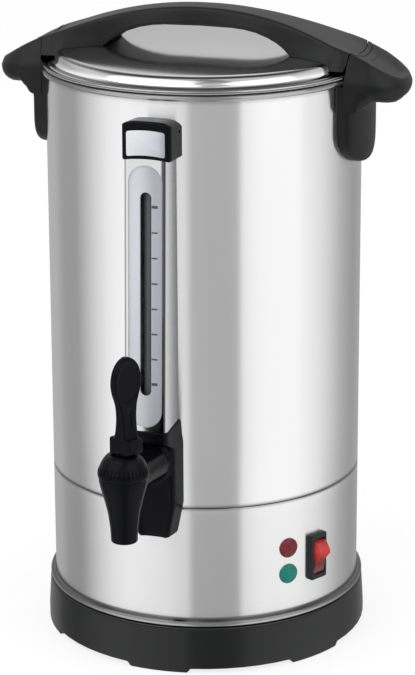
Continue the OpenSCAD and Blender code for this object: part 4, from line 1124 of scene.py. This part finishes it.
def make_block():
    """The block behind the tap, with a lip under the gauge, soft ridges and a hollow face."""
    levels = [
        BLOCK_LOW_Z, 93.95, 94.6, 95.8, 98, 102, 107, 112, 114.7, 118, 122, 126, 129, 131, 133, 135, 137, 139,
        141, 143, 145, 147, 149, 151, 153,
    ]
    levels += [154, 155, 156, 157, 158, 159, 160, 161.5, 163, 164.2, 165.0, 165.5, 165.8]
    rows = []
    for z in levels:
        points, lip = block_section(z)
        shrink = 1 - 0.055 * (1 - smooth_step(BLOCK_LOW_Z, 95.0, z))
        row = []
        for x, y in [(-a, b) for a, b in points[:0:-1]] + points:
            share = max(0.0, (z - BLOCK_SLANT_Z) / BLOCK_SLANT_H)
            height = z if share == 0 else BLOCK_SLANT_Z + (block_top(y) - BLOCK_SLANT_Z) * share
            inset = 1 - 0.05 * max(0.0, share - 0.86) / 0.14
            across = x * shrink * inset - lip * smooth_step(-95, -106, y)
            row.append((across, y + 8.0 * (1 - inset), height))
        rows.append(row)
    verts, faces = grid(rows)
    wide = len(rows[0])
    faces += end_faces(verts, wide)
    up = range(0, len(verts), wide)
    faces.append(tuple(up) + tuple(k + wide - 1 for k in reversed(up)))
    add_piece(
        "tap_block_body", (verts, faces), "urn", "gloss_black", ["tap_block"], 60,
        merge=0.02,
    )


def curve_between(a, b, c, d, t):
    """Value at t from b to c, on a smooth line through four numbers."""
    bend = 2 * a - 5 * b + 4 * c - d
    twist = 3 * b - a - 3 * c + d
    return 0.5 * (2 * b + (c - a) * t + bend * t * t + twist * t ** 3)


def smooth_curve(points, steps=4):
    """Points on a smooth line through the given ones."""
    out = []
    for k in range(len(points) - 1):
        near = [points[max(k - 1, 0)], points[k], points[k + 1], points[min(k + 2, len(points) - 1)]]
        for i in range(steps):
            out.append(tuple(curve_between(*values, i / steps) for values in zip(*near)))
    out.append(points[-1])
    return out


def make_tap():
    """Spout and shank of the tap."""
    top = TAP_SEAM_Z - 0.1
    bends = [(SPOUT_R + (TAP_R - SPOUT_R) * a, SPOUT_Z + (top - SPOUT_Z) * b) for a, b in TAP_CURVE]
    side = smooth_curve(bends)
    profile = [
        (5.5, SPOUT_Z + 0.5), (5.65, SPOUT_Z + 0.15), (6.0, SPOUT_Z), (7.2, SPOUT_Z),
        (7.75, SPOUT_Z + 0.12), (8.03, SPOUT_Z + 0.45),
    ]
    profile += side[1:-1] + [(TAP_R - 0.05, top - 0.25), (TAP_R - 0.35, top)]
    profile += [
        (11.1, top), (11.1, 145), (8.4, 133.5), (7.9, 131.5), (7.0, 131.5), (6.5, 132.5), (5.5, 132.5),
    ]
    verts, faces = lathe(profile, 128, (0, TAP_Y))
    flare = [
        (-154.3, 8.0), (-150, 8.1), (-145, 8.45), (-140, 8.85), (-135, 9.3), (-130, 9.85), (-125, 10.5),
        (-121, 11.1), (-118, 11.65), (-116.15, 12.0),
    ]
    shank = flare + [(-116.15, 8.0), (-87, 8.0), (-87, 4.5), (-154.3, 4.5)]
    rows = []
    for k in range(96):
        a = 2 * math.pi * k / 96
        rows.append([(r * math.cos(a), y, TAP_Z + r * math.sin(a)) for y, r in shank])
    verts, faces = joined((verts, faces), grid(rows, close_rows=True, close_cols=True))
    add_piece(
        "tap_spout", (verts, faces), "urn", "gloss_black", ["tap_body"], 35, merge=0.01,
    )


def make_bonnet():
    """Domed cap of the tap with a belt of narrow grooves."""
    high = BONNET_Z - TAP_SEAM_Z
    side = smooth_curve([(TAP_R + a, TAP_SEAM_Z + high * b) for a, b in BONNET_CURVE], 3)
    inner = [(3.05, BONNET_Z), (3.05, TAP_SEAM_Z + 8), (6.6, TAP_SEAM_Z + 8), (6.6, TAP_SEAM_Z + 0.02)]
    rows = []
    steps = 36 * 9
    for k in range(steps):
        a = 2 * math.pi * k / steps
        off = abs(((k + 4.5) % 9) - 4.5)
        notch = 1 - smooth_step(0.9, 2.1, off)
        row = []
        for r, z in side:
            belt = smooth_step(154.9, 155.7, z) * (1 - smooth_step(159.0, 160.3, z))
            row.append(((r - 0.55 * notch * belt), z))
        row += inner
        rows.append(turned(row, a, (0.0, TAP_Y)))
    verts, faces = grid(rows, close_rows=True, close_cols=True)
    add_piece("bonnet_cap", (verts, faces), "urn", "gloss_black", ["bonnet"], 50)


SPRING_R = 5.4
SPRING_WIRE_R = 0.5
SPRING_LOW_Z = 139.65
SPRING_TOP_Z = 160.65
SPRING_TURNS = 5


def make_spring():
    """Valve spring coil."""
    rows = []
    steps = SPRING_TURNS * 36
    for k in range(steps + 1):
        a = 2 * math.pi * SPRING_TURNS * k / steps
        z = SPRING_LOW_Z + (SPRING_TOP_Z - SPRING_LOW_Z) * k / steps
        row = []
        for i in range(10):
            t = 2 * math.pi * i / 10
            row.append((SPRING_R + SPRING_WIRE_R * math.cos(t), z + SPRING_WIRE_R * math.sin(t)))
        rows.append(turned(row, a, (0.0, TAP_Y)))
    verts, faces = grid(rows, close_cols=True)
    faces += end_faces(verts, 10)
    coil = add_piece("spring_coil", (verts, faces), "urn", "plain_steel", ["tap_spring"], 60)
    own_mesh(coil)


HEEL_X = 2.5
HEEL_Z = 172.9
HEEL_HALF = (8.7, 5.4)
# (height, half width, thickness, middle of the thickness)
LEVER_ROWS = [
    (176.9, 5.75, 10.3, 2.8), (178.6, 5.8, 9.9, 2.8), (180.5, 5.8, 9.1, 2.85), (183, 5.75, 8.2, 2.9),
    (186, 5.7, 7.6, 2.95), (189.5, 5.75, 7.0, 3.0), (193, 6.0, 6.5, 3.0), (196, 6.4, 6.1, 3.0),
    (199, 7.0, 5.7, 3.0), (202, 8.0, 5.4, 3.0), (205, 9.2, 5.2, 3.0), (208, 10.2, 5.0, 3.0),
    (211.5, 10.8, 5.0, 3.0), (215, 10.8, 5.0, 3.0), (218, 10.3, 5.0, 3.0), (221, 9.3, 5.0, 3.0),
    (223.5, 7.9, 4.9, 3.0), (225.3, 6.4, 4.8, 3.0), (226.7, 4.8, 4.5, 3.0), (227.8, 3.0, 4.1, 3.0),
    (228.4, 1.5, 3.3, 3.0), (228.6, 0.4, 2.1, 3.0),
]


def lever_face(y, z):
    """How far the lever's front is cut in: the paddle's hollow and the groove in its neck."""
    out = math.hypot(y / 9.5, (z - 213) / 13.4)
    hollow = 0.55 * (1 - smooth_step(0.84, 0.99, out))
    in_neck = smooth_step(182, 184.5, z) * (1 - smooth_step(193.5, 197, z))
    groove = 0.9 * (1 - smooth_step(0.9, 1.7, abs(y))) * in_neck
    return hollow + groove


def make_lever():
    """The paddle lever and its heel, turned as in the photograph."""

    def place(x, y, z):
        turned_x, turned_y, height = swing(x, y, z, LEVER_TURN)
        return (turned_x, TAP_Y + turned_y, height)

    rows = []
    for z, w, t, middle in smooth_curve(LEVER_ROWS, 3):
        r = min(1.3, t * 0.42, w * 0.45)
        row = []
        for k in range(17):
            y = (w - r) * (k / 8 - 1)
            row.append((t / 2 - lever_face(y, z), y))
        row += arc(t / 2 - r, w - r, r, 15, 90, 4) + arc(-t / 2 + r, w - r, r, 90, 180, 5)
        row += arc(-t / 2 + r, -w + r, r, 180, 270, 5) + arc(t / 2 - r, -w + r, r, 270, 345, 4)
        rows.append([place(middle + x, y, z) for x, y in row])
    verts, faces = grid(rows, close_cols=True)
    faces += end_faces(verts, len(rows[0]))
    paddle = mesh_of("lever_body", verts, faces, 0.01)
    foot = BONNET_Z + 0.3
    side = [
        (-6.2, foot), (3, foot), (7.7, foot + 0.7), (10.2, foot + 1.6), (11.2, foot + 3.0),
        (11.2, foot + 10.8), (-6.2, foot + 10.8),
    ]
    outline = rounded(side, [0.6, 0, 0, 0, 1.0, 1.6, 1.6], 4)

    def rim(p, level):
        y, inset = level
        x = HEEL_X + (p[0] - HEEL_X) * (1 - inset / HEEL_HALF[0])
        return place(x, y, HEEL_Z + (p[1] - HEEL_Z) * (1 - inset / HEEL_HALF[1]))

    levels = [
        (-5.75, 0.9), (-5.6, 0.45), (-5.3, 0.12), (-4.9, 0), (4.9, 0), (5.3, 0.12), (5.6, 0.45),
        (5.75, 0.9),
    ]
    heel = prism("tool", outline, rim, levels)

    def across(p, y):
        return place(p[0], y, p[1])

    slot_box = prism("tool", [(-4.6, 165), (5.3, 165), (5.3, 176), (-4.6, 176)], across, [-3.3, 3.3])
    pin_hole = prism("tool", arc(0, 170.0, 1.25, 0, 350, 35), across, [-8, 8])
    mesh = cut(cut(heel, [paddle], "UNION"), [slot_box, pin_hole])
    finish_piece("lever_body", mesh, "lever", "gloss_black", ["tap_lever"], 42)


# ---------- switch ----------

SWITCH_Z = 67.5
FRAME_HALF = (7.0, 15.2)
FRAME_Y = -103.2
OPENING_HALF = (5.1, 12.0)
ROCKER_Y = -101.0
ROCKER_HALF = (8.0, 11.0)


def slab(half_x, half_z, radius, levels):
    """A rounded upright plate on the body at the switch; each level is (inset, y)."""
    corners = [(-half_x, -half_z), (half_x, -half_z), (half_x, half_z), (-half_x, half_z)]

    def place(p, level):
        inset, y = level
        x = p[0] * (1 - inset / half_x)
        z = p[1] * (1 - inset / half_z)
        return swing(x, y, SWITCH_Z + z, SWITCH_ANGLE)

    return prism("slab", rounded(corners, radius, 5), place, levels)


def make_switch():
    """The frame with its opening, and the rocker in it."""
    front = FRAME_Y
    levels = [(0, -99.3), (0, front + 0.7), (0.12, front + 0.3), (0.4, front + 0.06), (0.8, front)]
    rim = slab(*FRAME_HALF, 1.4, levels)
    case = slab(6.1, 14.7, 0.5, [(0, -80), (0, -101)])
    hole = slab(*OPENING_HALF, 0.8, [(0, -91), (0, front + 0.5), (-0.3, front - 0.2)])
    mesh = cut(cut(rim, [case], "UNION"), [hole])
    finish_piece("switch_frame", mesh, "urn", "switch_black", ["switch_housing"], 45)
    outline = [
        (-94.0, -0.8), (-97.5, -11.0), (-102.8, -11.0), (-103.6, -6.6), (-104.4, -2.5),
        (-108.9, 3.0), (-108.2, 5.4), (-105.5, 9.8), (-102.9, 10.7), (-96.6, 10.3),
    ]

    def place(p, level):
        x, inset = level
        y = ROCKER_Y + (p[0] - ROCKER_Y) * (1 - inset / ROCKER_HALF[0])
        return swing(x, y, SWITCH_Z + p[1] * (1 - inset / ROCKER_HALF[1]), SWITCH_ANGLE)

    levels = [(-4.8, 0.6), (-4.6, 0.25), (-4.2, 0), (4.2, 0), (4.6, 0.25), (4.8, 0.6)]
    side = rounded(outline, [0, 0, 0.6, 3, 3, 1.4, 2.5, 1.2, 0.5, 0], 5)
    mesh = prism("rocker_button", side, place, levels)
    rocker = finish_piece("rocker_button", mesh, "rocker", "rocker_red", ["switch_rocker"], 40)
    rocker.visible_glossy = False


# ---------- lamps ----------

RED_LAMP_Z = 77.9
GREEN_LAMP_Z = 60.4
LENS_R = 6.5
LENS_PROFILE = [
    (LENS_R, -0.4), (LENS_R, 0.3), (6.35, 0.75), (5.9, 1.2), (5.1, 1.65), (4.1, 2.05), (2.9, 2.35),
    (1.5, 2.55), (0.0, 2.6), (0.0, -2.0), (5.0, -2.0), (5.0, -0.5),
]


def make_lens(name, slot, z):
    """Round domed lens on the housing."""
    rows = []
    steps = 48
    for k in range(steps):
        a = 2 * math.pi * k / steps
        c, s = math.cos(a), math.sin(a)
        rows.append([swing(r * c, -BODY_R - out, z + r * s, LAMP_ANGLE) for r, out in LENS_PROFILE])
    verts, faces = grid(rows, close_rows=True, close_cols=True)
    mesh = mesh_of(name, verts, faces, 0.01)
    finish_piece(name, mesh, "urn", slot, [slot.replace("lens_", "") + "_lens"], 50)


# ---------- scene ----------

# brightness that mirrors see: (degrees round the urn from the camera, level)
STUDIO = [
    (-180, 0.455), (-142, 0.44), (-128, 0.315), (-108, 0.30), (-86, 0.74), (-74, 0.92), (-60, 1.0),
    (-30, 0.88), (-14, 0.75), (-10, 0.42), (24.5, 0.385), (27, 0.79), (33, 0.88), (41, 0.97), (57, 1.0),
    (74, 1.0), (92, 0.86), (120, 0.44), (140, 0.315), (180, 0.44),
]
# the same overhead: (upward part of the direction, level)
CEILING = [(0.0, 0.50), (0.16, 0.50), (0.30, 0.61), (0.40, 0.85), (0.50, 1.0), (1.0, 1.0)]
CAMERA_TURN = 17.4
CAMERA_FAR = 1.67585
CAMERA_HIGH = 0.7087
CAMERA_DIP = 17.164
CAMERA_ROLL = -0.0046
CAMERA_LENS = 143.68
CAMERA_SHIFT = 0.0033
TABLE_REACH = 60.0
TABLE_Z = -0.0001
TABLE_GLOW = 1.07
TABLE_GLOW_SHARE = 0.76


def make_world():
    """Even pale light; mirrors also see the soft boxes that stand round the table."""
    world = bpy.data.worlds.new("studio")
    bpy.context.scene.world = world
    world.use_nodes = True
    tree = world.node_tree
    tree.nodes.clear()
    place = add_node(tree, "ShaderNodeSeparateXYZ")
    feed(tree, place, {0: add_node(tree, "ShaderNodeTexCoord").outputs["Generated"]})
    x, y, z = place.outputs
    turn = math.radians(CAMERA_TURN)
    c, s = math.cos(turn), math.sin(turn)
    front = minus(tree, times(tree, x, s), times(tree, y, c))
    side = plus(tree, times(tree, x, c), times(tree, y, s))
    angle = math_node(tree, "ARCTAN2", side, front)
    around = blend_along(tree, angle, [(math.radians(at), grey(level)) for at, level in STUDIO])
    above = blend_along(tree, z, [(rise, grey(level)) for rise, level in CEILING], low=-1.0)
    box_share = times(tree, map_range(tree, z, -0.12, 0.02), map_range(tree, z, 0.80, 0.64))
    studio = mix(tree, box_share, around, above)
    path = add_node(tree, "ShaderNodeLightPath").outputs
    plain = mix(tree, path["Is Glossy Ray"], grey(0.80), studio)
    white = mix(tree, path["Is Camera Ray"], plain, grey(1.0))
    background = add_node(tree, "ShaderNodeBackground")
    feed(tree, background, {"Color": white})
    output = add_node(tree, "ShaderNodeOutputWorld")
    feed(tree, output, {"Surface": background.outputs["Background"]})


def mix_shaders(tree, share, first, second):
    """Two surfaces mixed."""
    node = add_node(tree, "ShaderNodeMixShader")
    feed(tree, node, {0: share, 1: first.outputs[0], 2: second.outputs[0]})
    return node


def make_floor():
    """Pale table; it keeps the shadow, and mirrors look past it at the studio."""
    mesh = bpy.data.meshes.new("floor")
    corners = [(-1, -1), (1, -1), (1, 1), (-1, 1)]
    mesh.from_pydata([(x * TABLE_REACH, y * TABLE_REACH, TABLE_Z) for x, y in corners], [], [(0, 1, 2, 3)])
    floor = bpy.data.objects.new("floor", mesh)
    bpy.context.scene.collection.objects.link(floor)
    mat = bpy.data.materials.new("floor")
    mat.use_nodes = True
    tree = mat.node_tree
    tree.nodes.clear()
    diffuse = add_node(tree, "ShaderNodeBsdfDiffuse")
    feed(tree, diffuse, {"Color": grey(0.86)})
    glow = add_node(tree, "ShaderNodeEmission")
    feed(tree, glow, {"Color": grey(1.0), "Strength": TABLE_GLOW})
    path = add_node(tree, "ShaderNodeLightPath").outputs
    share = times(tree, path["Is Camera Ray"], TABLE_GLOW_SHARE)
    seen = mix_shaders(tree, share, diffuse, glow)
    see_through = add_node(tree, "ShaderNodeBsdfTransparent")
    surface = mix_shaders(tree, path["Is Glossy Ray"], seen, see_through)
    output = add_node(tree, "ShaderNodeOutputMaterial")
    feed(tree, output, {"Surface": surface.outputs[0]})
    mesh.materials.append(mat)


def add_area(name, place, size, power):
    """A square soft light that looks at the urn."""
    light = bpy.data.lights.new(name, "AREA")
    light.shape = "RECTANGLE"
    light.size = size
    light.size_y = size
    light.energy = power
    obj = bpy.data.objects.new(name, light)
    obj.location = place
    obj.rotation_mode = "QUATERNION"
    obj.rotation_quaternion = (Vector((0, 0, 0.2)) - Vector(place)).to_track_quat("-Z", "Y")
    bpy.context.scene.collection.objects.link(obj)


def make_lights():
    """Two soft lights, in front on the left and on the right."""
    add_area("key", (-0.9, -1.3, 1.7), 2.2, 14)
    add_area("fill", (1.6, -0.7, 1.2), 1.8, 8)


def make_camera():
    """The camera of the photograph."""
    data = bpy.data.cameras.new("camera")
    data.lens = CAMERA_LENS
    data.sensor_width = 36.0
    data.shift_x = CAMERA_SHIFT
    camera = bpy.data.objects.new("camera", data)
    turn = math.radians(CAMERA_TURN)
    place = Matrix.Translation((CAMERA_FAR * math.sin(turn), -CAMERA_FAR * math.cos(turn), CAMERA_HIGH))
    look = Matrix.Rotation(turn, 4, "Z") @ Matrix.Rotation(math.radians(90 - CAMERA_DIP), 4, "X")
    camera.matrix_world = place @ look @ Matrix.Rotation(CAMERA_ROLL, 4, "Z")
    bpy.context.scene.collection.objects.link(camera)
    bpy.context.scene.camera = camera
    bpy.context.scene.view_settings.view_transform = "Standard"


make_camera()
make_world()
make_floor()
make_lights()
dress_cad_nodes()
make_tank()
make_housing()
make_base_ring()
make_lid()
make_bridge()
make_ear("right_ear", "right_handle", 0)
make_ear("left_ear", "left_handle", 180)
make_gauge_cover()
make_gauge_cap()
make_badge()
make_block()
make_tap()
make_bonnet()
make_spring()
make_lever()
make_switch()
make_lens("lamp_heating", "lens_red", RED_LAMP_Z)
make_lens("lamp_warm", "lens_green", GREEN_LAMP_Z)
